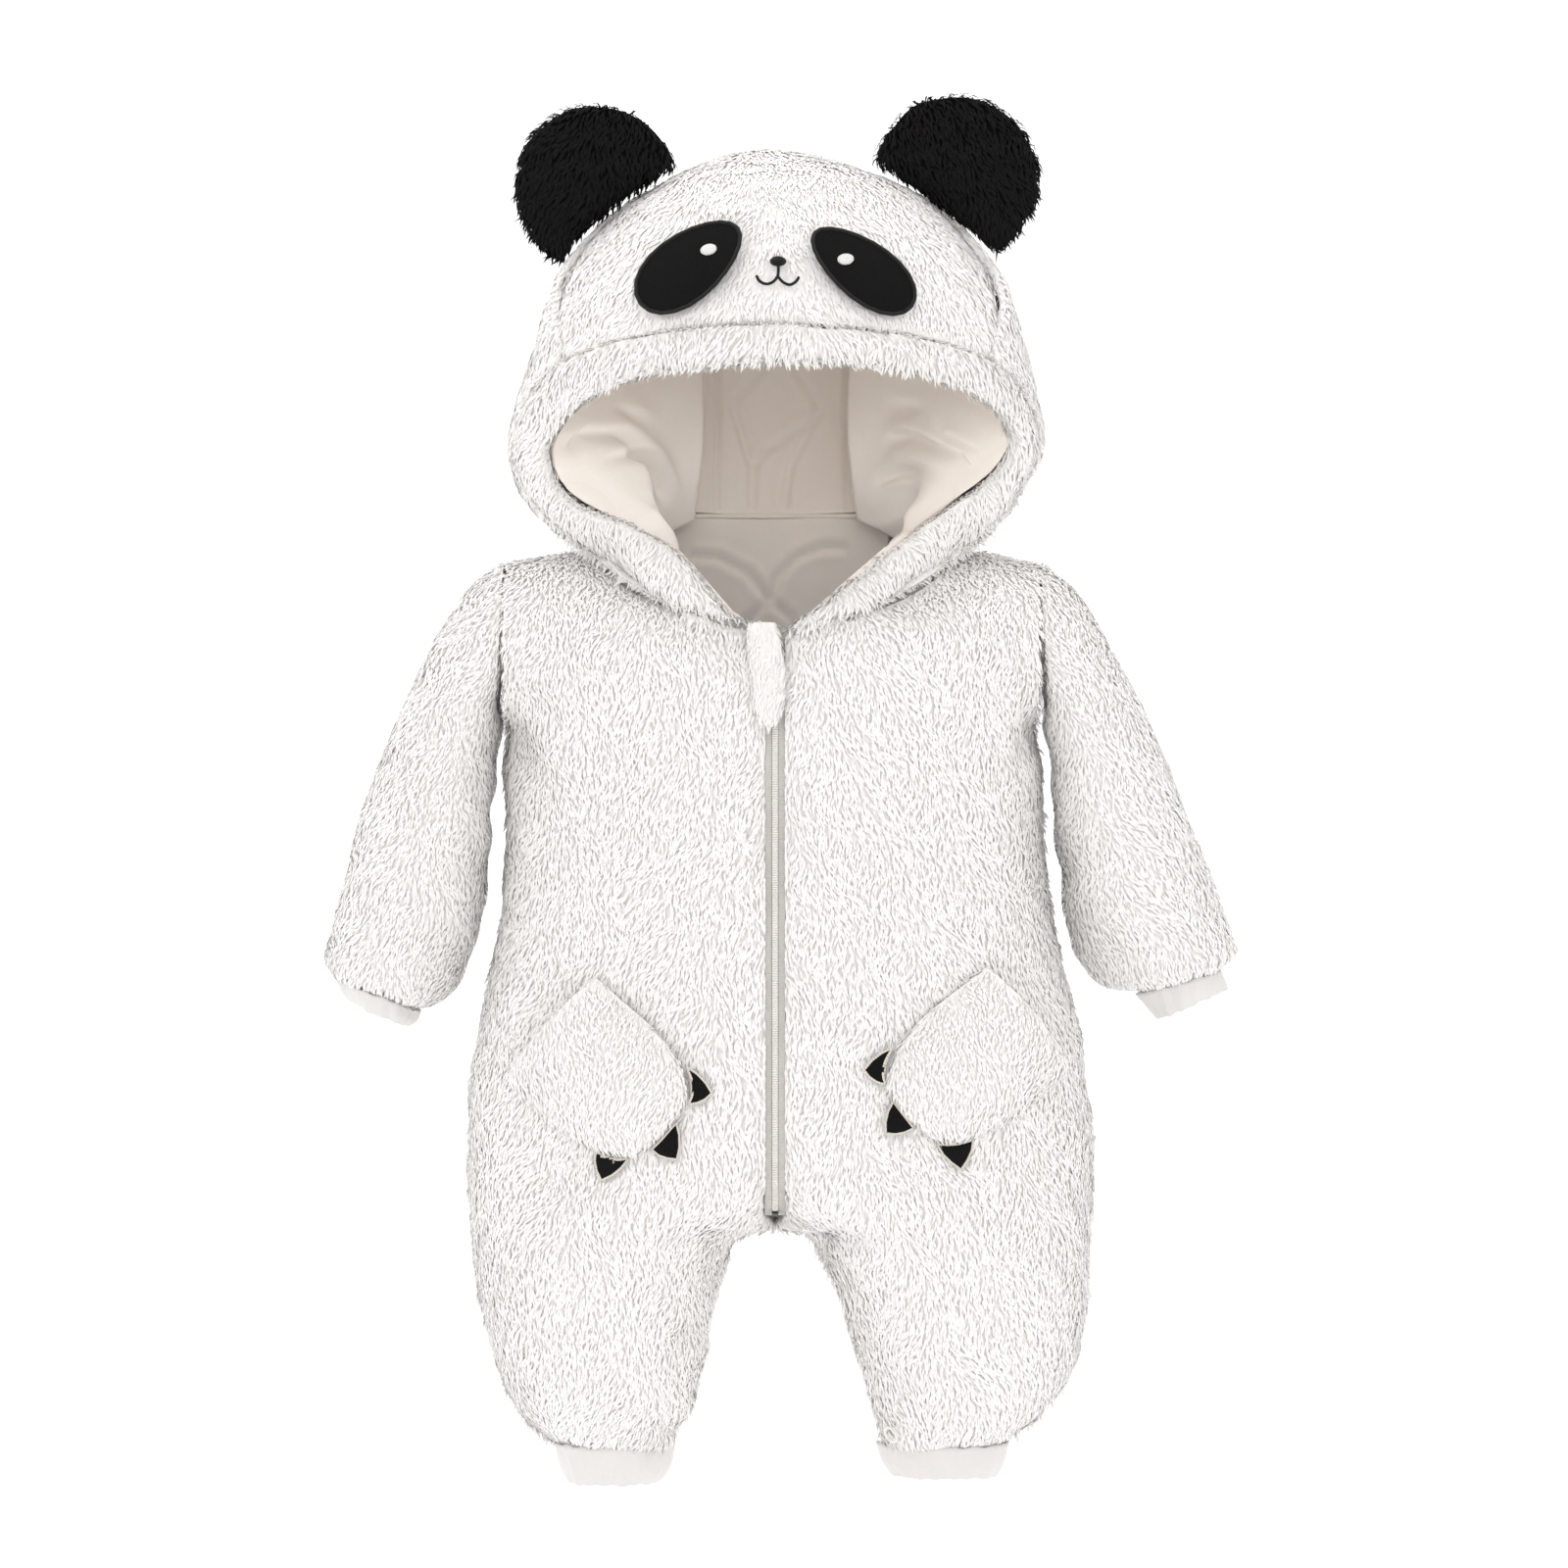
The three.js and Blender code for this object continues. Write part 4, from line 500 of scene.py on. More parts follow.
def softened(node, points):
    """The points with the corner of the shoulder let down, alike on the body and the sleeve."""
    if style_of(node) not in ("body", "sleeve"):
        return points
    near = np.exp(-(((np.abs(points[:, 0]) - SHOULDER_X) / SHOULDER_WIDE) ** 2))
    points[:, 2] -= SHOULDER_DROP * near * smooth(-0.012, 0.012, points[:, 2])
    return points


def cloth_from(node, name, levels, material, drop=0.0):
    """A node's form as a new piece: its loose triangles merged, squared up and rounded off. Its
    shown side is first sunk by drop, to leave room for the pile."""
    piece = new_piece(name, *merged(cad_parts[node].data), material)
    pick_only(piece)
    bpy.ops.object.mode_set(mode="EDIT")
    bpy.ops.mesh.select_all(action="SELECT")
    bpy.ops.mesh.tris_convert_to_quads(face_threshold=QUAD_LIE, shape_threshold=QUAD_SHAPE)
    bpy.ops.mesh.normals_make_consistent(inside=False)
    bpy.ops.mesh.select_all(action="DESELECT")
    bpy.ops.mesh.edges_select_sharp(sharpness=RIM_ANGLE)
    bpy.ops.object.mode_set(mode="OBJECT")
    if drop:
        sink(piece.data, node, drop)
    rims = np.zeros(len(piece.data.edges), bool)
    piece.data.edges.foreach_get("select", rims)
    keep(piece.data, "crease_edge", rims * RIM_CREASE, "EDGE")
    bpy.ops.object.modifier_add(type="SUBSURF")
    rounding = piece.modifiers[-1]
    rounding.levels = levels
    rounding.render_levels = levels
    bpy.ops.object.modifier_apply(modifier=rounding.name)
    piece.data.shade_smooth()
    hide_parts(node)
    return piece


def sink(mesh, node, drop):
    """Lowers the corners of a wall's shown faces square to those faces alone, so its edges stay
    against their neighbours'."""
    points = points_of(mesh)
    centres = np.array([tuple(face.center) for face in mesh.polygons])
    square = np.array([tuple(face.normal) for face in mesh.polygons])
    shown = faces_out(node, centres, square) > 0.5
    away = np.zeros_like(points)
    for face, seen in zip(mesh.polygons, shown):
        if seen:
            away[list(face.vertices)] += np.array(face.normal) * face.area
    amount = np.full(len(points), drop)
    if node.startswith("body_front"):
        amount *= 0.3 + 0.7 * smooth(0.007, 0.022, np.abs(points[:, 0]))
    set_points(mesh, points - unit(away) * amount[:, None])


def plush_panel(node, material):
    """The cloth of one plush panel, sunk below the pile, with its folds."""
    levels = 1 if "_back" in node else 2
    drop = PILE_STYLES[style_of(node)]["drop"]
    piece = cloth_from(node, f"{node}_cloth", levels, material, drop)
    mesh = piece.data
    points, normals = points_of(mesh), normals_of(mesh)
    shown = faces_out(node, points, normals)
    soft = 0.0011 * ripple(points, 0.05, 3) + 0.0006 * ripple(points, 0.022, 5)
    sunk = points + normals * (shown * soft)[:, None]
    set_points(mesh, softened(node, pressed(node, sunk)))
    keep(mesh, "pile", grows(node, points, normals))
    return piece


def folded(node, points):
    """The lining's points with its folds and quilting pressed in and its rim drawn to the band."""
    out = unit(points - np.array(LINING_HEART))
    depth = 0.0009 * ripple(points, 0.045, 41)
    fade = 0.014 if node.startswith("lining_side") else 0.003
    for wide, deep, line in LINING_LINES[node]:
        wide, deep, line = wide / 1000, deep / 1000, np.array(line) / 1000
        away, at, passed = np.full(len(points), 1.0), np.zeros(len(points)), 0.0
        for start, end in zip(line, line[1:]):
            near, along = beside(points, start, end)
            span = np.linalg.norm(end - start)
            at = np.where(near < away, passed + along * span, at)
            away = np.minimum(away, near)
            passed += span
        ends = smooth(0.0, fade, at) * smooth(0.0, fade, passed - at)
        lip = 0.4 * np.exp(-(((away - 2.2 * wide) / (1.2 * wide)) ** 2))
        depth += deep * ends * (np.exp(-((away / wide) ** 2)) - lip)
    rim, gap = nearest_on("hood_band", points)
    depth *= smooth(0.006, 0.02, gap)
    drawn = (1 - smooth(0.006, 0.015, gap)) * (1 + 0.001 / np.maximum(gap, 0.001))
    return points + out * depth[:, None] + (rim - points) * drawn[:, None]


# ------------------------------------------------------------------------------- the pile


def nap(node, points, normals):
    """The way the pile lies at each point, along the cloth."""
    style = style_of(node)
    x, y, z = points.T
    down = np.tile(np.array([0.0, 0.0, -1.0]), (len(points), 1))
    if style in ("hood", "band"):
        down = down + 0.55 * unit(np.stack([x, y - 0.015, x * 0], axis=1))
    elif style == "sleeve":
        side = 1 if node.endswith("right") else -1
        down = np.tile(np.array([side * 0.34, 0.0, -0.94]), (len(points), 1))
    elif style == "body":
        down = down + 0.12 * np.stack([np.sign(x), x * 0, x * 0], axis=1)
    elif style == "ear":
        side = 1 if "right" in node else -1
        down = down + np.array([side * 0.35, 0.0, 0.0])
    flat = unit(down - normals * (down * normals).sum(axis=1, keepdims=True))
    across = np.cross(normals, flat)
    turn = 0.36 * ripple(points, 0.045, 11) + 0.22 * ripple(points, 0.016, 12)
    return unit(flat * np.cos(turn)[:, None] + across * np.sin(turn)[:, None])


def scattered(mesh, count, rng):
    """Evenly spread points of the shown cloth, with their normals."""
    points, normals, corners = points_of(mesh), normals_of(mesh), triangles_of(mesh)
    shown = np.zeros(len(points), np.float32)
    mesh.attributes["pile"].data.foreach_get("value", shown)
    a, b, c = (points[corners[:, i]] for i in range(3))
    size = np.linalg.norm(np.cross(b - a, c - a), axis=1) / 2
    size = size * smooth(0.25, 0.75, shown[corners].mean(axis=1))
    total = np.cumsum(size)
    count = int(count * total[-1])
    pick = (np.arange(count) + rng.random(count)) / count * total[-1]
    chosen = np.clip(np.searchsorted(total, pick), 0, len(corners) - 1)
    u, v = rng.random((2, count, 1))
    u, v = np.where(u + v > 1, 1 - u, u), np.where(u + v > 1, 1 - v, v)
    at = corners[chosen]
    weights = (1 - u - v, u, v)
    place = sum(w * points[at[:, i]] for i, w in enumerate(weights))
    normal = unit(sum(w * normals[at[:, i]] for i, w in enumerate(weights)))
    return place, normal


def beside_zip(points):
    """Points of the body's front held off the zip's tapes."""
    held = (points[:, 1] < 0) & (points[:, 2] > ZIP_LOW) & (points[:, 2] < ZIP_HIGH)
    held &= np.abs(points[:, 0]) < ZIP_EDGE
    points[held, 0] = np.sign(points[held, 0]) * ZIP_EDGE
    return points


def planted(panel, node, rng, trims, clear):
    """Where a panel's locks stand: their feet, the cloth's normal there, the way they lie and their
    share of the full height."""
    sizes = bpy.context.scene.snowsuit_sizes
    root, normal = scattered(panel.data, sizes.locks, rng)
    short = np.ones(len(root))
    for centre, reach in trims:
        away = np.linalg.norm(root[:, [0, 2]] - np.array(centre), axis=1)
        short = np.where((away < reach) & (root[:, 1] < 0), PRESSED_SHORT, short)
    way = nap(node, root, normal)
    for outline in clear:
        ahead = root + way * sizes.pile_length * PATCH_CLEARANCE
        apart = ~(inside(root, outline) | inside(ahead, outline)) | (root[:, 1] > 0)
        root, normal, way, short = root[apart], normal[apart], way[apart], short[apart]
    return root, normal, way, short[:, None]


def pile_on(panel, node, material, seed, trims=(), clear=()):
    """Locks of pile on one panel, as a single mesh. Each lock is a bent, pointed leaf."""
    sizes, style = bpy.context.scene.snowsuit_sizes, PILE_STYLES[style_of(node)]
    rng = np.random.default_rng(seed)
    root, normal, way, short = planted(panel, node, rng, trims, clear)
    count = len(root)
    turn = rng.normal(0, 0.16, (count, 1))
    way = unit(way * np.cos(turn) + np.cross(way, normal) * np.sin(turn))
    side = unit(np.cross(way, normal))
    length = sizes.pile_length * style["length"] * rng.uniform(0.72, 1.25, (count, 1)) * short
    lift = sizes.pile_lift * style["lift"] * rng.uniform(0.78, 1.12, (count, 1)) * short
    half = sizes.lock_width / 2 * style["width"] * rng.uniform(0.7, 1.25, (count, 1))
    sway = rng.normal(0, 0.12, (count, 1)) * length
    bend = root + way * length * BEND_ALONG + normal * lift * BEND_UP + side * sway * BEND_SWAY
    tip = root + way * length + normal * lift * rng.uniform(0.6, 1.0, (count, 1)) + side * sway
    if node.startswith("body_front"):
        bend, tip = beside_zip(bend), beside_zip(tip)
    foot, narrow = root - normal * FOOT_SUNK, side * half * FOOT_WIDTH
    locks = [foot - narrow, foot + narrow, bend - side * half, bend + side * half, tip]
    leaning = [normal + side * lean for lean in (-LEAN_FOOT, LEAN_FOOT, -LEAN_BEND, LEAN_BEND)]
    leaning = np.stack([*leaning, normal + way * LEAN_TIP], axis=1)
    mesh = lock_mesh(f"{node}_pile", np.stack(locks, axis=1), leaning)
    keep(mesh, "tone", np.repeat(rng.random(count), len(LOCK_RISE)))
    mesh.materials.append(material)
    piece = added(f"{node}_pile", mesh)
    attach(piece, "root")
    return piece


def lock_mesh(name, locks, leaning):
    """A mesh of all the locks from their corners, shaded as these lean, with each one's height."""
    count, each = locks.shape[:2]
    corners = (np.arange(count)[:, None, None] * each + LOCK_FACES).reshape(-1, 3)
    mesh = bpy.data.meshes.new(name)
    mesh.vertices.add(count * each)
    mesh.vertices.foreach_set("co", locks.astype(np.float32).ravel())
    mesh.loops.add(corners.size)
    mesh.loops.foreach_set("vertex_index", corners.astype(np.int32).ravel())
    mesh.polygons.add(len(corners))
    mesh.polygons.foreach_set("loop_start", np.arange(0, corners.size, 3, dtype=np.int32))
    mesh.update(calc_edges=True)
    mesh.shade_smooth()
    keep(mesh, "rise", np.tile(LOCK_RISE, count))
    mesh.normals_split_custom_set_from_vertices(unit(leaning.reshape(-1, 3)).tolist())
    return mesh


def turned_in(piece, shown, node, material, seed):
    """Turned-in plush in a seam: marks where it shows, and plants pile that lies as the node's."""
    keep(piece.data, "pile", shown)
    locks = pile_on(piece, node, material, seed)
    locks.name = locks.data.name = f"{piece.name}_pile"
    return piece, locks


def ball(around, rings):
    """The points and faces of a ball of radius 1."""
    points = [(0.0, 0.0, 1.0)]
    for r in range(1, rings):
        wide, high = math.sin(math.pi * r / rings), math.cos(math.pi * r / rings)
        for k in range(around):
            turn = 2 * math.pi * k / around
            points.append((wide * math.cos(turn), wide * math.sin(turn), high))
    points.append((0.0, 0.0, -1.0))
    foot = len(points) - 1
    faces = []
    for k in range(around):
        ahead = (k + 1) % around
        faces.append((0, 1 + k, 1 + ahead))
        faces.append((foot, foot - around + ahead, foot - around + k))
        for r in range(rings - 2):
            a, b = 1 + r * around + k, 1 + r * around + ahead
            faces.append((a, a + around, b + around, b))
    return np.array(points), faces


def seam_corner(side, ground, pile, seed):
    """The turned-in plush that closes the corner where the hood's band, side and centre meet."""
    mirror = 1 if side == "right" else -1
    up, out = (Vector((mirror * x, y, z)).normalized() for x, y, z in (CORNER_UP, CORNER_OUT))
    across = up.cross(out)
    middle = np.array(HOOD_CORNERS[side]) - np.array(out) * CORNER_DROP
    points, faces = ball(24, 14)
    points = points * CORNER_SIZE @ np.array([across, up, out]) + middle
    piece = new_piece(f"hood_seam_corner_{side}", points, faces, ground)
    shown = smooth(0.0, 0.3, normals_of(piece.data) @ np.array(out))
    return turned_in(piece, shown, f"hood_side_{side}", pile, seed)


def throat_seam(side, ground, pile, seed):
    """The turned-in plush of the seam below the hood, beside the zip."""
    node, line = f"body_front_{side}", []
    for x, z in curve_through(THROAT[side], 4):
        place, _ = front_point(x / 1000, z / 1000 - THROAT_DOWN, [node])
        line.append((Vector((x / 1000, place.y + THROAT_BACK, z / 1000)), OUTWARD))
    piece = cord_mesh(f"throat_seam_{side}", line, THROAT_RADIUS, ground, flatten=1.0)
    shown = smooth(-0.2, 0.3, -normals_of(piece.data)[:, 1])
    return turned_in(piece, shown, node, pile, seed)


def clearings(node):
    """Outlines of the appliques that lie on a panel's pile, seen from the front."""
    on = {f"body_front_{side}": [f"claw_{side}_{i}" for i in CLAWS] for side in SIDES}
    on["hood_centre"] = [f"eye_patch_{side}" for side in SIDES]
    return [np.array([(p.x, p.z) for p, _ in outline_of(name)]) for name in on.get(node, [])]


def mouth_trims():
    """Round spots where the pile is pressed short under the nose and mouth."""
    spots = [((NOSE["x"] / 1000, NOSE["z"] / 1000), 0.007)]
    for row in MOUTH:
        for (x0, z0), (x1, z1) in zip(row, row[1:]):
            for t in (0.0, 0.5, 1.0):
                x, z = x0 + (x1 - x0) * t, z0 + (z1 - z0) * t
                spots.append(((x / 1000, z / 1000 + 0.003), 0.005))
    return spots


# ------------------------------------------------------------------------------- finishes


def group(name, inputs, outputs):
    """A new shader group with named sockets, and its two end nodes."""
    tree = bpy.data.node_groups.new(name, "ShaderNodeTree")
    for label, kind, value in inputs:
        socket = tree.interface.new_socket(name=label, in_out="INPUT", socket_type=kind)
        socket.default_value = value
    for label, kind in outputs:
        tree.interface.new_socket(name=label, in_out="OUTPUT", socket_type=kind)
    return tree, tree.nodes.new("NodeGroupInput"), tree.nodes.new("NodeGroupOutput")


def feed(tree, socket, value):
    """Links a value that comes out of another node, and sets any other."""
    if isinstance(value, bpy.types.NodeSocket):
        tree.links.new(value, socket)
    else:
        socket.default_value = value


def noise(tree, place, scale, detail=3.0, roughness=0.55):
    node = tree.nodes.new("ShaderNodeTexNoise")
    node.inputs["Detail"].default_value = detail
    node.inputs["Roughness"].default_value = roughness
    feed(tree, node.inputs["Scale"], scale)
    tree.links.new(place, node.inputs["Vector"])
    return node.outputs["Fac"]


def reshaped(tree, value, low, high, to_low=0.0, to_high=1.0):
    node = tree.nodes.new("ShaderNodeMapRange")
    labels = ("From Min", "From Max", "To Min", "To Max")
    for label, number in zip(labels, (low, high, to_low, to_high)):
        node.inputs[label].default_value = number
    tree.links.new(value, node.inputs["Value"])
    return node.outputs["Result"]


def sums(tree, kind, a, b=0.0):
    node = tree.nodes.new("ShaderNodeMath")
    node.operation = kind
    for socket, value in zip(node.inputs, (a, b)):
        feed(tree, socket, value)
    return node.outputs[0]


def blend_colour(tree, amount, a, b):
    node = tree.nodes.new("ShaderNodeMix")
    node.data_type = "RGBA"
    for socket, value in ((node.inputs[0], amount), (node.inputs[6], a), (node.inputs[7], b)):
        feed(tree, socket, value)
    return node.outputs[2]


def ridges(tree, value, rate):
    """Round ridges side by side, so many to each unit of the value."""
    turn = sums(tree, "MULTIPLY", sums(tree, "MULTIPLY", value, rate), math.pi)
    return sums(tree, "ABSOLUTE", sums(tree, "SINE", turn))


def tone_group():
    """Slow patches of a second tone, and fine mottling, over a cloth's colour."""
    tree, start, end = group(
        "cloth_tone",
        [
            ("Vector", "NodeSocketVector", (0, 0, 0)),
            ("Colour", "NodeSocketColor", (1, 1, 1, 1)),
            ("Shade", "NodeSocketColor", (1, 1, 1, 1)),
            ("Amount", "NodeSocketFloat", 0.4),
            ("Scale", "NodeSocketFloat", 9.0),
        ],
        [("Colour", "NodeSocketColor")],
    )
    slow = noise(tree, start.outputs["Vector"], start.outputs["Scale"], 2.0)
    fine = noise(tree, start.outputs["Vector"], 420.0, 2.0)
    patch = reshaped(tree, slow, 0.35, 0.7)
    mottle = reshaped(tree, fine, 0.3, 0.75, 0.0, 0.5)
    amount = sums(tree, "MULTIPLY", sums(tree, "ADD", patch, mottle), start.outputs["Amount"])
    colour = blend_colour(tree, amount, start.outputs["Colour"], start.outputs["Shade"])
    tree.links.new(colour, end.inputs["Colour"])
    return tree


def nap_group():
    """Relief of a short nap: fine hairs drawn out downwards over soft, small mounds."""
    tree, start, end = group(
        "nap_relief",
        [
            ("Vector", "NodeSocketVector", (0, 0, 0)),
            ("Hair scale", "NodeSocketFloat", 900.0),
            ("Mound scale", "NodeSocketFloat", 120.0),
            ("Draw out", "NodeSocketFloat", 0.3),
        ],
        [("Height", "NodeSocketFloat")],
    )
    stretch = tree.nodes.new("ShaderNodeCombineXYZ")
    for socket, value in zip(stretch.inputs, (1.0, 1.0, start.outputs["Draw out"])):
        feed(tree, socket, value)
    drawn = tree.nodes.new("ShaderNodeVectorMath")
    drawn.operation = "MULTIPLY"
    tree.links.new(start.outputs["Vector"], drawn.inputs[0])
    tree.links.new(stretch.outputs[0], drawn.inputs[1])
    hair = noise(tree, drawn.outputs[0], start.outputs["Hair scale"], 3.0, 0.6)
    mound = noise(tree, start.outputs["Vector"], start.outputs["Mound scale"], 2.0)
    height = sums(
        tree, "ADD", sums(tree, "MULTIPLY", hair, 0.45), sums(tree, "MULTIPLY", mound, 0.55)
    )
    tree.links.new(height, end.inputs["Height"])
    return tree


def thread_group():
    """Threads laid side by side: ridges across the map's first axis, each a little uneven, with a
    mask of the grooves between them for painted shade.
    """
    tree, start, end = group(
        "laid_threads",
        [("Vector", "NodeSocketVector", (0, 0, 0)), ("Threads", "NodeSocketFloat", 60.0)],
        [("Height", "NodeSocketFloat"), ("Gap shade", "NodeSocketFloat")],
    )
    split = tree.nodes.new("ShaderNodeSeparateXYZ")
    tree.links.new(start.outputs["Vector"], split.inputs[0])
    waver = sums(tree, "MULTIPLY", noise(tree, start.outputs["Vector"], 9.0, 2.0), 0.02)
    along = sums(tree, "ADD", split.outputs[0], waver)
    ridge = ridges(tree, along, start.outputs["Threads"])
    tree.links.new(ridge, end.inputs["Height"])
    # A mask of the grooves between the threads, where shade is painted.
    tree.links.new(reshaped(tree, ridge, 0.0, 0.45, 1.0, 0.0), end.inputs["Gap shade"])
    return tree


def weave_group():
    """A plain weave of fine threads across and along, on the piece's own place, with a mask of its
    gaps for painted shade.
    """
    tree, start, end = group(
        "tape_weave",
        [
            ("Vector", "NodeSocketVector", (0, 0, 0)),
            ("Across", "NodeSocketFloat", 1500.0),
            ("Along", "NodeSocketFloat", 2400.0),
        ],
        [("Height", "NodeSocketFloat"), ("Gap shade", "NodeSocketFloat")],
    )
    split = tree.nodes.new("ShaderNodeSeparateXYZ")
    tree.links.new(start.outputs["Vector"], split.inputs[0])
    across = ridges(tree, split.outputs[0], start.outputs["Across"])
    along = ridges(tree, split.outputs[2], start.outputs["Along"])
    height = sums(tree, "MULTIPLY", across, along)
    tree.links.new(height, end.inputs["Height"])
    # A mask of the weave's gaps, where shade is painted.
    tree.links.new(reshaped(tree, height, 0.0, 0.5, 1.0, 0.0), end.inputs["Gap shade"])
    return tree


def placed(tree, name, **values):
    """A shared group placed in a material, with its own numbers and colours."""
    makers = {
        "cloth_tone": tone_group,
        "nap_relief": nap_group,
        "laid_threads": thread_group,
        "tape_weave": weave_group,
    }
    if name not in GROUPS:
        GROUPS[name] = makers[name]()
    node = tree.nodes.new("ShaderNodeGroup")
    node.node_tree = GROUPS[name]
    for label, value in values.items():
        feed(tree, node.inputs[label.replace("_", " ")], value)
    return node


def finish(name, roughness, sheen=0.0, sheen_roughness=0.5, specular=0.3, metallic=0.0):
    """A new material with its constants on the shader's own sockets."""
    material = bpy.data.materials.new(name)
    material.use_nodes = True
    shader = material.node_tree.nodes["Principled BSDF"]
    shader.inputs["Roughness"].default_value = roughness
    shader.inputs["Metallic"].default_value = metallic
    shader.inputs["Specular IOR Level"].default_value = specular
    shader.inputs["Sheen Weight"].default_value = sheen
    shader.inputs["Sheen Roughness"].default_value = sheen_roughness
    return material, material.node_tree, shader


def here(tree):
    return tree.nodes.new("ShaderNodeTexCoord").outputs["Object"]


def raised(tree, shader, height, strength, distance):
    node = tree.nodes.new("ShaderNodeBump")
    node.inputs["Strength"].default_value = strength
    node.inputs["Distance"].default_value = distance
    tree.links.new(height, node.inputs["Height"])
    tree.links.new(node.outputs["Normal"], shader.inputs["Normal"])


def rgba(colour):
    return (*colour, 1.0)


def toned(tree, shader, place, colour, shade, **more):
    """Colours a shader in slow patches and fine mottling of two tones."""
    tone = placed(tree, "cloth_tone", Vector=place, Colour=colour, Shade=shade, **more)
    tree.links.new(tone.outputs["Colour"], shader.inputs["Base Color"])


def napped(name, colour, shade, roughness, hair, mound, strength, distance, **more):
    """Cloth with a short nap: fleece, velour, felt and the ground that pile stands on."""
    material, tree, shader = finish(name, roughness, **more)
    place = here(tree)
    toned(tree, shader, place, rgba(colour), rgba(shade), Amount=0.5)
    relief = placed(tree, "nap_relief", Vector=place, Hair_scale=hair, Mound_scale=mound)
    raised(tree, shader, relief.outputs["Height"], strength, distance)
    return material


def piled(name, colour, root, shade, **more):
    """Locks of pile: darker at the root than the tip, as painted shade at the pile's foot, and each
    lock its own slight tone.
    """
    material, tree, shader = finish(name, 0.85, **more)
    rise = tree.nodes.new("ShaderNodeAttribute")
    rise.attribute_name = "rise"
    tone = tree.nodes.new("ShaderNodeAttribute")
    tone.attribute_name = "tone"
    place = here(tree)
    cloth = placed(
        tree, "cloth_tone", Vector=place, Colour=rgba(colour), Shade=rgba(shade), Amount=0.45
    )
    own = sums(tree, "MULTIPLY", tone.outputs["Fac"], 0.35)
    lock = blend_colour(tree, own, cloth.outputs["Colour"], rgba(shade))
    # Painted shade: towards each lock's foot its colour is blended halfway to the root colour.
    depth = reshaped(tree, rise.outputs["Fac"], 0.0, 0.5, 0.5, 0.0)
    tree.links.new(blend_colour(tree, depth, lock, rgba(root)), shader.inputs["Base Color"])
    relief = placed(
        tree, "nap_relief", Vector=place, Hair_scale=1500.0, Mound_scale=300.0, Draw_out=0.25
    )
    raised(tree, shader, relief.outputs["Height"], 0.35, 0.0005)
    return material


def threaded(name, colour, gap, threads, roughness, sheen=0.2):
    """Embroidery thread laid side by side along the piece's own map, with painted shade in the gaps
    between threads.
    """
    material, tree, shader = finish(name, roughness, sheen=sheen)
    coords = tree.nodes.new("ShaderNodeTexCoord")
    laid = placed(tree, "laid_threads", Vector=coords.outputs["UV"], Threads=threads)
    # Painted shade: the grooves between threads take the darker gap colour.
    colours = blend_colour(tree, laid.outputs["Gap shade"], rgba(colour), rgba(gap))
    tree.links.new(colours, shader.inputs["Base Color"])
    raised(tree, shader, laid.outputs["Height"], 0.8, 0.0004)
    return material


def woven_tape(colour):
    """The zip's woven tape, with painted shade in the gaps of its weave."""
    material, tree, shader = finish("zip_tape_weave", 0.7, sheen=0.1)
    place = here(tree)
    weave = placed(tree, "tape_weave", Vector=place, Across=1700.0, Along=1300.0)
    # Painted shade: the weave's gaps are blended towards a darker tape colour.
    dark = rgba(c * 0.55 for c in colour)
    weave_gap_shade = sums(tree, "MULTIPLY", weave.outputs["Gap shade"], 0.7)
    toned(tree, shader, place, blend_colour(tree, weave_gap_shade, rgba(colour), dark), dark, Amount=0.25)
    raised(tree, shader, weave.outputs["Height"], 0.6, 0.0003)
    return material


def worn(name, colour, shade, patches, marks, roughness, gloss, relief, **more):
    """A hard, smooth finish whose gloss varies over fine marks of wear."""
    material, tree, shader = finish(name, roughness, **more)
    place = here(tree)
    toned(tree, shader, place, rgba(colour), rgba(shade), Scale=patches)
    wear = noise(tree, place, *marks)
    tree.links.new(reshaped(tree, wear, 0.3, 0.7, *gloss), shader.inputs["Roughness"])
    raised(tree, shader, wear, relief, 0.0001)
    return material


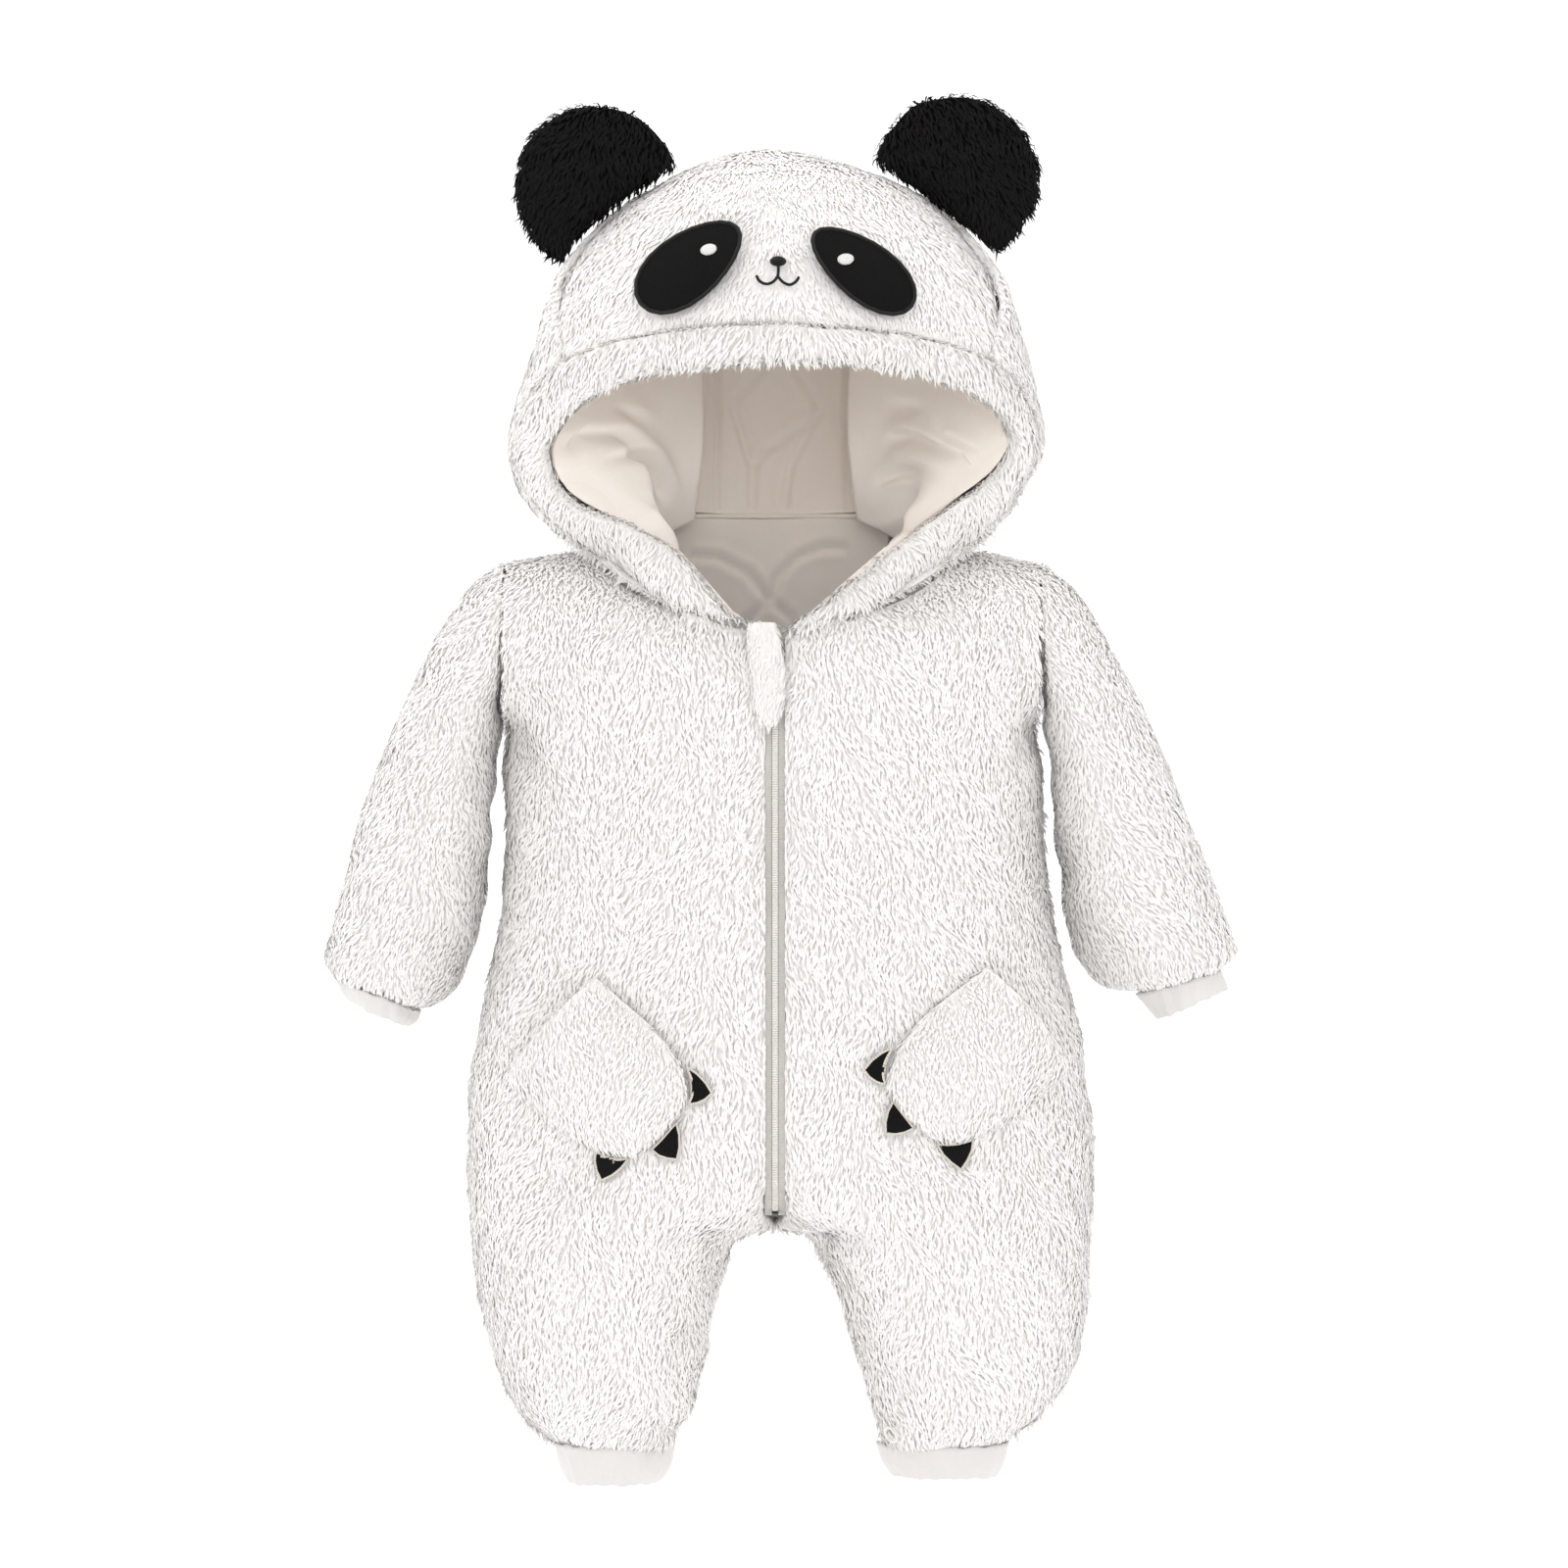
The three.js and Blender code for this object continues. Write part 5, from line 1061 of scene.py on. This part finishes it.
def finishes():
    """Every finish of the suit by its name, made once."""
    if FINISHES:
        return FINISHES
    tints = bpy.context.scene.snowsuit_colours
    # The root colour is the backing cloth's own white, a little darker as painted shade at the pile's
    # foot.
    white, shade, root = tuple(tints.plush), tuple(tints.plush_shade), tuple(tints.plush_root_shade)
    black, tape = tuple(tints.black), tuple(tints.tape)
    soot = tuple(c * 1.5 + 0.001 for c in black)
    pale_tape = tuple(min(1.0, c * 1.25) for c in tape)
    ground = (0.95, 700, 160, 0.6, 0.0012)
    FINISHES.update(
        ground=napped("plush_ground", root, shade, *ground, sheen=0.2),
        pile=piled("plush_pile", white, root, shade, sheen=0.35, specular=0.15),
        black_ground=napped("black_ground", black, soot, *ground, specular=0.05),
        # The black pile's root colour is darker than its tips, as painted shade at the pile's foot.
        black_pile=piled("black_pile", soot, black, black, sheen=0.02, specular=0.08),
        cuff=napped(
            "cuff_fleece", (0.75, 0.72, 0.70), (0.70, 0.665, 0.645),
            0.9, 1300, 220, 0.3, 0.0006, sheen=0.3,
        ),
        lining=napped(
            "quilted_velour", tuple(tints.lining), tuple(tints.lining_shade),
            0.8, 1500, 60, 0.25, 0.0008, sheen=0.35, sheen_roughness=0.4,
        ),
        felt=napped(
            "black_felt", black, soot, 0.92, 1100, 500, 0.6, 0.0005, sheen=0.03, specular=0.1
        ),
        # Each thread's second colour is painted shade for the grooves between its threads.
        black_thread=threaded("black_satin_stitch", black, (0.002, 0.002, 0.002), 150, 0.5, 0.04),
        cream_thread=threaded(
            "cream_satin_stitch", (0.80, 0.74, 0.66), (0.42, 0.36, 0.30), 46, 0.5
        ),
        white_thread=threaded(
            "white_satin_stitch", (0.92, 0.91, 0.90), (0.55, 0.54, 0.53), 12, 0.45
        ),
        tape=woven_tape(tape),
        coil=worn(
            "zip_coil_nylon", pale_tape, tape,
            60.0, (1400.0, 2.0), 0.42, (0.34, 0.5), 0.15, specular=0.45,
        ),
        metal=worn(
            "dark_stop_metal", (0.07, 0.065, 0.06), (0.16, 0.15, 0.14),
            300.0, (2200.0, 3.0), 0.35, (0.25, 0.5), 0.2, metallic=0.9, specular=0.5,
        ),
        snap=worn(
            "clear_snap_resin", (0.86, 0.83, 0.79), (0.66, 0.62, 0.58),
            200.0, (900.0, 2.0), 0.25, (0.18, 0.32), 0.1, specular=0.5,
        ),
    )
    return FINISHES


# ------------------------------------------------------------------------------- stitched trims


def cord_mesh(name, line, radius, material, closed=False, flatten=0.7):
    """A stitched cord along a line of (point, normal), flattened on to the cloth under it."""
    count, around = len(line), 8
    points, faces, marks = [], [], []
    for i, (place, normal) in enumerate(line):
        ahead = line[(i + 1) % count][0] if closed or i < count - 1 else place
        behind = line[i - 1][0] if closed or i else place
        along = (ahead - behind).normalized()
        across = along.cross(normal).normalized()
        up = across.cross(along).normalized()
        if up.dot(normal) < 0:
            up = -up
        thick = radius if closed or 0 < i < count - 1 else radius * 0.4
        for k in range(around):
            turn = 2 * math.pi * k / around
            aside, high = across * thick * math.cos(turn), up * thick * flatten * math.sin(turn)
            points.append(place + aside + high)
    spans = count if closed else count - 1
    for i in range(spans):
        for k in range(around):
            a, b = i * around + k, i * around + (k + 1) % around
            c, d = (i + 1) % count * around + (k + 1) % around, (i + 1) % count * around + k
            faces.append((a, b, c, d))
            u0, u1, v0, v1 = i / spans, (i + 1) / spans, k / around, (k + 1) / around
            marks.extend([(u0, v0), (u0, v1), (u1, v1), (u1, v0)])
    if not closed:
        for first, mark in ((0, (0.0, 0.0)), ((count - 1) * around, (1.0, 0.0))):
            faces.append(tuple(range(first, first + around)))
            marks.extend([mark] * around)
    piece = new_piece(name, points, faces, material)
    layer = piece.data.uv_layers.new(name="Threads")
    layer.data.foreach_set("uv", np.array(marks, np.float32).ravel())
    out_again(piece)
    return piece


def outline_of(node):
    """The edge of a flat applique's front, in order, as (point, normal)."""
    points, corners = merged(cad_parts[node].data)
    a, b, c = (points[corners[:, i]] for i in range(3))
    normals = unit(np.cross(b - a, c - a))
    shown = normals[:, 1] < -0.55
    edges = {}
    for face in corners[shown]:
        for i in range(3):
            edges[(int(face[i]), int(face[(i + 1) % 3]))] = True
    after = {a: b for a, b in edges if (b, a) not in edges}
    start = next(iter(after))
    loop, at = [start], after[start]
    while at != start:
        loop.append(at)
        at = after[at]
    facing = Vector(normals[shown].mean(axis=0)).normalized()
    return [(Vector(points[i]), facing) for i in loop]


def resampled(line, step):
    """A closed line again at an even step, softened at its corners."""
    places = np.array([tuple(p) for p, _ in line])
    ring = np.vstack([places, places[:1]])
    far = np.concatenate([[0], np.cumsum(np.linalg.norm(np.diff(ring, axis=0), axis=1))])
    count = max(12, int(far[-1] / step))
    at = np.linspace(0, far[-1], count, endpoint=False)
    even = np.stack([np.interp(at, far, ring[:, k]) for k in range(3)], axis=1)
    return [(Vector(p), line[0][1]) for p in even]


def stitched_disc(name, spot, nodes, height, material):
    """A small domed oval of satin stitch on the face."""
    rings, around = 5, 28
    turn = math.radians(spot["turn"])
    points, faces, maps = [], [], []
    for r in range(rings + 1):
        share = r / rings
        for k in range(around if r else 1):
            t = 2 * math.pi * k / around
            u, v = share * math.cos(t), share * math.sin(t)
            x = spot["long"] * u * math.cos(turn) - spot["short"] * v * math.sin(turn)
            z = spot["long"] * u * math.sin(turn) + spot["short"] * v * math.cos(turn)
            place, normal = front_point((spot["x"] + x) / 1000, (spot["z"] + z) / 1000, nodes)
            points.append(place + normal * (height * (1 - share**4) - 0.0004))
            maps.append((u * 0.5 + 0.5, v * 0.5 + 0.5))
    for k in range(around):
        faces.append((0, 1 + k, 1 + (k + 1) % around))
        for r in range(rings - 1):
            a, b = 1 + r * around + k, 1 + r * around + (k + 1) % around
            faces.append((a, a + around, b + around, b))
    piece = new_piece(name, points, faces, material)
    layer = piece.data.uv_layers.new(name="Threads")
    for loop in piece.data.loops:
        layer.data[loop.index].uv = maps[loop.vertex_index]
    pick_only(piece)
    bpy.ops.object.modifier_add(type="SOLIDIFY")
    piece.modifiers[-1].thickness = -0.0008
    bpy.ops.object.modifier_apply(modifier=piece.modifiers[-1].name)
    out_again(piece)
    return piece


def tooth(points, faces, place, normal, hand, pitch):
    """One bent turn of the coil: a little six-sided bar that reaches past the middle."""
    start, around = len(points), 6
    shares = (-1.0, -0.3, 0.5, 1.0)
    up = Vector((0, 0, 1)) * pitch * 0.34
    for share in shares:
        rise = 0.00045 * (1 - share**2) + 0.0001
        centre = place + Vector((hand * 0.0017 * share, 0, 0)) + normal * rise
        for k in range(around):
            turn = 2 * math.pi * k / around
            points.append(centre + up * math.cos(turn) + normal * 0.00035 * math.sin(turn))
    for first in range(start, start + (len(shares) - 1) * around, around):
        for k in range(around):
            a, b = first + k, first + (k + 1) % around
            faces.append((a, b, b + around, a + around))
    faces.append(tuple(range(start, start + around)))
    faces.append(tuple(range(len(points) - around, len(points))))


def dress(node, material):
    """Gives a node that keeps its shape its finish."""
    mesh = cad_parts[node].data
    mesh.materials.clear()
    mesh.materials.append(material)


# ------------------------------------------------------------------------------- the studio


def paper_sweep():
    """The pale paper floor, curved up into a backdrop."""
    paper, tree, shader = finish("studio_paper", 0.9, specular=0.1)
    toned(tree, shader, here(tree), rgba((0.93,) * 3), rgba((0.9,) * 3), Scale=1.0)
    turns = np.linspace(0, math.pi / 2, 12)
    bend = [(2.0 + 1.2 * math.sin(t), 0.45 - 1.2 * math.cos(t)) for t in turns]
    profile = [(-6.0, -0.75), *bend, (3.2, 5.0)]
    points = [(x, y, z) for y, z in profile for x in (-5.0, 5.0)]
    faces = [(2 * i, 2 * i + 1, 2 * i + 3, 2 * i + 2) for i in range(len(profile) - 1)]
    mesh = bpy.data.meshes.new("studio_paper")
    mesh.from_pydata(points, [], faces)
    mesh.shade_smooth()
    mesh.materials.append(paper)
    added("studio_paper", mesh)


def soft_light(scene):
    """An even, white room, with a few wide lamps."""
    world = bpy.data.worlds.new("soft_room")
    world.use_nodes = True
    world.node_tree.nodes["Background"].inputs["Color"].default_value = (1, 1, 1, 1)
    world.node_tree.nodes["Background"].inputs["Strength"].default_value = 0.95
    scene.world = world
    scene.view_settings.view_transform = "Standard"
    for name, (place, aim, size, power) in LAMPS.items():
        light = bpy.data.lights.new(name, "AREA")
        light.size = size
        light.energy = power
        lamp = added(name, light)
        lamp.location = place
        lamp.rotation_euler = (Vector(aim) - Vector(place)).to_track_quat("-Z", "Y").to_euler()


def straight_camera(scene):
    """A long lens, square to the suit's front, as far off as shows the view's full width."""
    camera = bpy.data.cameras.new("camera")
    camera.lens = scene.snowsuit_sizes.lens
    camera.sensor_width = FILM
    camera.clip_end = 50.0
    eye = added("camera", camera)
    x, y, z = VIEW_MIDDLE
    eye.location = (x, y - VIEW_WIDTH * scene.snowsuit_sizes.lens / FILM, z)
    eye.rotation_euler = (math.pi / 2, 0.0, 0.0)
    scene.camera = eye


# ------------------------------------------------------------------------------- operators


class SNOWSUIT_OT_plush(bpy.types.Operator):
    """Makes the white plush panels' cloth and the pile on them"""

    bl_idname = "snowsuit.plush"
    bl_label = "Plush panels and pile"

    def execute(self, context):
        made = finishes()
        for seed, node in enumerate(WHITE_PLUSH):
            panel = plush_panel(node, made["ground"])
            trims = mouth_trims() if node == "hood_centre" else ()
            pile = pile_on(panel, node, made["pile"], seed + 20, trims, clearings(node))
        for seed, side in enumerate(SIDES):
            for piece in seam_corner(side, made["ground"], made["pile"], seed + 60):
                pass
            for piece in throat_seam(side, made["ground"], made["pile"], seed + 80):
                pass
        return {"FINISHED"}


class SNOWSUIT_OT_ears(bpy.types.Operator):
    """Makes both ears of black plush, front and back"""

    bl_idname = "snowsuit.ears"
    bl_label = "Ears"

    def execute(self, context):
        made = finishes()
        for seed, node in enumerate(EARS):
            panel = plush_panel(node, made["black_ground"])
            pile_on(panel, node, made["black_pile"], seed + 60)
        return {"FINISHED"}


class SNOWSUIT_OT_cuffs(bpy.types.Operator):
    """Makes the smooth fleece cuffs of the sleeves and legs"""

    bl_idname = "snowsuit.cuffs"
    bl_label = "Cuffs"

    def execute(self, context):
        made = finishes()
        for node in [f"{limb}_cuff_{side}" for limb in ("sleeve", "leg") for side in SIDES]:
            cuff = cloth_from(node, f"{node}_cloth", 2, made["cuff"])
            points = points_of(cuff.data)
            x, y, _ = (points - points.mean(axis=0)).T
            gather = GATHER_DEEP * np.sin(np.arctan2(y, x) * GATHERS)
            gather += CUFF_WAVE * ripple(points, 0.018, 31)
            set_points(cuff.data, points + normals_of(cuff.data) * gather[:, None])
        return {"FINISHED"}


class SNOWSUIT_OT_lining(bpy.types.Operator):
    """Makes the hood's quilted velour lining with its folds and quilting lines"""

    bl_idname = "snowsuit.lining"
    bl_label = "Hood lining"

    def execute(self, context):
        made = finishes()
        for node in LINING_LINES:
            piece = cloth_from(node, f"{node}_cloth", 3, made["lining"])
            points = folded(node, points_of(piece.data))
            if node == "lining_neck":
                points[:, 0] *= NECK_SPREAD
            set_points(piece.data, points)
        line = []
        for x in np.linspace(-NAPE_HALF, NAPE_HALF, 32):
            y = NAPE_Y - NAPE_BOW * (x / NAPE_REACH) ** 2
            line.append((Vector((x, y, NAPE_Z)), OUTWARD))
        seam = cord_mesh("lining_nape_seam", line, NAPE_RADIUS, made["lining"], flatten=1.0)
        return {"FINISHED"}


class SNOWSUIT_OT_face(bpy.types.Operator):
    """Makes the eye patches with their stitched rims and glints, and the nose and mouth"""

    bl_idname = "snowsuit.face"
    bl_label = "Face"

    def execute(self, context):
        made = finishes()
        for side in SIDES:
            node = f"eye_patch_{side}"
            patch = cloth_from(node, f"{node}_felt", 2, made["felt"])
            rim = resampled(outline_of(node), 0.0016)
            cord = cord_mesh(f"{node}_rim", rim, 0.0013, made["black_thread"], closed=True)
            white = made["white_thread"]
            stitched_disc(f"glint_{side}", GLINTS[side], [node], 0.0013, white)
        nodes = ["hood_centre"]
        nose = stitched_disc("nose", NOSE, nodes, 0.0022, made["black_thread"])
        for i, row in enumerate(MOUTH):
            line = []
            for x, z in curve_through(row, 5):
                place, normal = front_point(x / 1000, z / 1000, nodes)
                line.append((place + normal * 0.0004, normal))
            stitch = cord_mesh(f"mouth_{i + 1}", line, 0.0009, made["black_thread"])
        return {"FINISHED"}


class SNOWSUIT_OT_claws(bpy.types.Operator):
    """Makes the black claws of the paw pockets with their cream stitched edges"""

    bl_idname = "snowsuit.claws"
    bl_label = "Claws"

    def execute(self, context):
        made = finishes()
        for node in [f"claw_{side}_{i}" for side in SIDES for i in CLAWS]:
            claw = cloth_from(node, f"{node}_felt", 2, made["felt"])
            rim = resampled(outline_of(node), 0.0012)
            edge = cord_mesh(f"{node}_edge", rim, 0.0007, made["cream_thread"], closed=True)
        return {"FINISHED"}


class SNOWSUIT_OT_zip(bpy.types.Operator):
    """Makes the zip's coil and gives the tapes, slider and stop their finishes"""

    bl_idname = "snowsuit.zip"
    bl_label = "Zip"

    def execute(self, context):
        made = finishes()
        pitch = context.scene.snowsuit_sizes.tooth_pitch
        for side in SIDES:
            dress(f"zip_tape_{side}", made["tape"])
        dress("zip_coil", made["coil"])
        dress("zip_slider", made["metal"])
        dress("zip_stop", made["metal"])
        low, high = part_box("zip_coil")
        points, faces = [], []
        for i in range(int((high.z - low.z) / pitch) - 2):
            place, normal = front_point(0.0, low.z + (i + 1.5) * pitch, ["zip_coil"])
            tooth(points, faces, place, normal, 1 if i % 2 else -1, pitch)
        teeth = new_piece("zip_teeth", points, faces, made["coil"])
        out_again(teeth)
        return {"FINISHED"}


class SNOWSUIT_OT_snap(bpy.types.Operator):
    """Makes the small clear snap at the hem of one leg"""

    bl_idname = "snowsuit.snap"
    bl_label = "Snap"

    def execute(self, context):
        made = finishes()
        place, normal = front_point(SNAP["x"] / 1000, SNAP["z"] / 1000, ["body_front_right"])
        bpy.ops.object.select_all(action="DESELECT")
        bpy.ops.mesh.primitive_torus_add(
            location=place + normal * SNAP["off"] / 1000,
            rotation=normal.to_track_quat("Z", "Y").to_euler(),
            major_radius=SNAP["radius"] / 1000,
            minor_radius=SNAP["ring"] / 1000,
            major_segments=36,
            minor_segments=10,
        )
        snap = context.active_object
        snap.name = "snap_ring"
        bpy.ops.object.transform_apply(location=True, rotation=True, scale=True)
        bpy.ops.object.shade_smooth()
        snap.data.materials.append(made["snap"])
        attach(snap, "root")
        return {"FINISHED"}


class SNOWSUIT_OT_stage(bpy.types.Operator):
    """Makes the pale floor and backdrop, the soft lights and the camera"""

    bl_idname = "snowsuit.stage"
    bl_label = "Studio"

    def execute(self, context):
        paper_sweep()
        soft_light(context.scene)
        straight_camera(context.scene)
        return {"FINISHED"}


# ------------------------------------------------------------------------------- the add-on


def length(name, description, value):
    return bpy.props.FloatProperty(
        name=name, description=description, default=value, unit="LENGTH"
    )


def tint(name, description, value):
    return bpy.props.FloatVectorProperty(
        name=name, description=description, default=value, subtype="COLOR", size=3, min=0, max=1
    )


class SnowsuitSizes(bpy.types.PropertyGroup):
    pile_length: length("Pile length", "Length of a lock of pile", 0.0078)
    pile_lift: length("Pile lift", "How far a lock stands off the cloth", 0.0020)
    lock_width: length("Lock width", "Width of a lock of pile", 0.0016)
    locks: bpy.props.IntProperty(
        name="Locks", description="Locks of pile on a square metre of cloth", default=262000
    )
    tooth_pitch: length("Tooth pitch", "From one turn of the zip's coil to the next", 0.0014)
    lens: bpy.props.FloatProperty(
        name="Lens", description="Focal length of the camera, in millimetres", default=135.0
    )


class SnowsuitColours(bpy.types.PropertyGroup):
    plush: tint("Plush", "Tips of the white pile", (0.93, 0.911, 0.892))
    plush_shade: tint("Plush shade", "The pile's second, warmer tone", (0.90, 0.877, 0.853))
    # The root colour: the backing cloth's own white, a little darker as painted shade at the pile's
    # foot.
    plush_root_shade: tint("Plush root", "Foot of the pile and the cloth below it", (0.92, 0.893, 0.870))
    lining: tint("Lining", "Quilted velour", (0.935, 0.873, 0.812))
    lining_shade: tint("Lining shade", "The velour's second tone", (0.89, 0.80, 0.715))
    black: tint("Black", "Ears, eye patches and claws", (0.006, 0.0055, 0.0055))
    tape: tint("Zip tape", "Tape and coil of the zip", (0.72, 0.69, 0.655))


class SNOWSUIT_PT_panel(bpy.types.Panel):
    """The suit's sizes, colours and pieces in the sidebar"""

    bl_idname = "SNOWSUIT_PT_panel"
    bl_label = "Snowsuit"
    bl_space_type = "VIEW_3D"
    bl_region_type = "UI"
    bl_category = "Snowsuit"

    def draw(self, context):
        for settings in (context.scene.snowsuit_sizes, context.scene.snowsuit_colours):
            for name in settings.__annotations__:
                self.layout.prop(settings, name)
        for operator in OPERATORS:
            self.layout.operator(operator.bl_idname)


OPERATORS = (
    SNOWSUIT_OT_plush,
    SNOWSUIT_OT_ears,
    SNOWSUIT_OT_cuffs,
    SNOWSUIT_OT_lining,
    SNOWSUIT_OT_face,
    SNOWSUIT_OT_claws,
    SNOWSUIT_OT_zip,
    SNOWSUIT_OT_snap,
    SNOWSUIT_OT_stage,
)
CLASSES = (SnowsuitSizes, SnowsuitColours, *OPERATORS, SNOWSUIT_PT_panel)


def register():
    for kind in CLASSES:
        bpy.utils.register_class(kind)
    bpy.types.Scene.snowsuit_sizes = bpy.props.PointerProperty(type=SnowsuitSizes)
    bpy.types.Scene.snowsuit_colours = bpy.props.PointerProperty(type=SnowsuitColours)


def unregister():
    del bpy.types.Scene.snowsuit_colours
    del bpy.types.Scene.snowsuit_sizes
    for kind in reversed(CLASSES):
        bpy.utils.unregister_class(kind)


def main():
    register()
    bpy.ops.snowsuit.plush()
    bpy.ops.snowsuit.ears()
    bpy.ops.snowsuit.cuffs()
    bpy.ops.snowsuit.lining()
    bpy.ops.snowsuit.face()
    bpy.ops.snowsuit.claws()
    bpy.ops.snowsuit.zip()
    bpy.ops.snowsuit.snap()
    bpy.ops.snowsuit.stage()


if __name__ == "__main__":
    main()
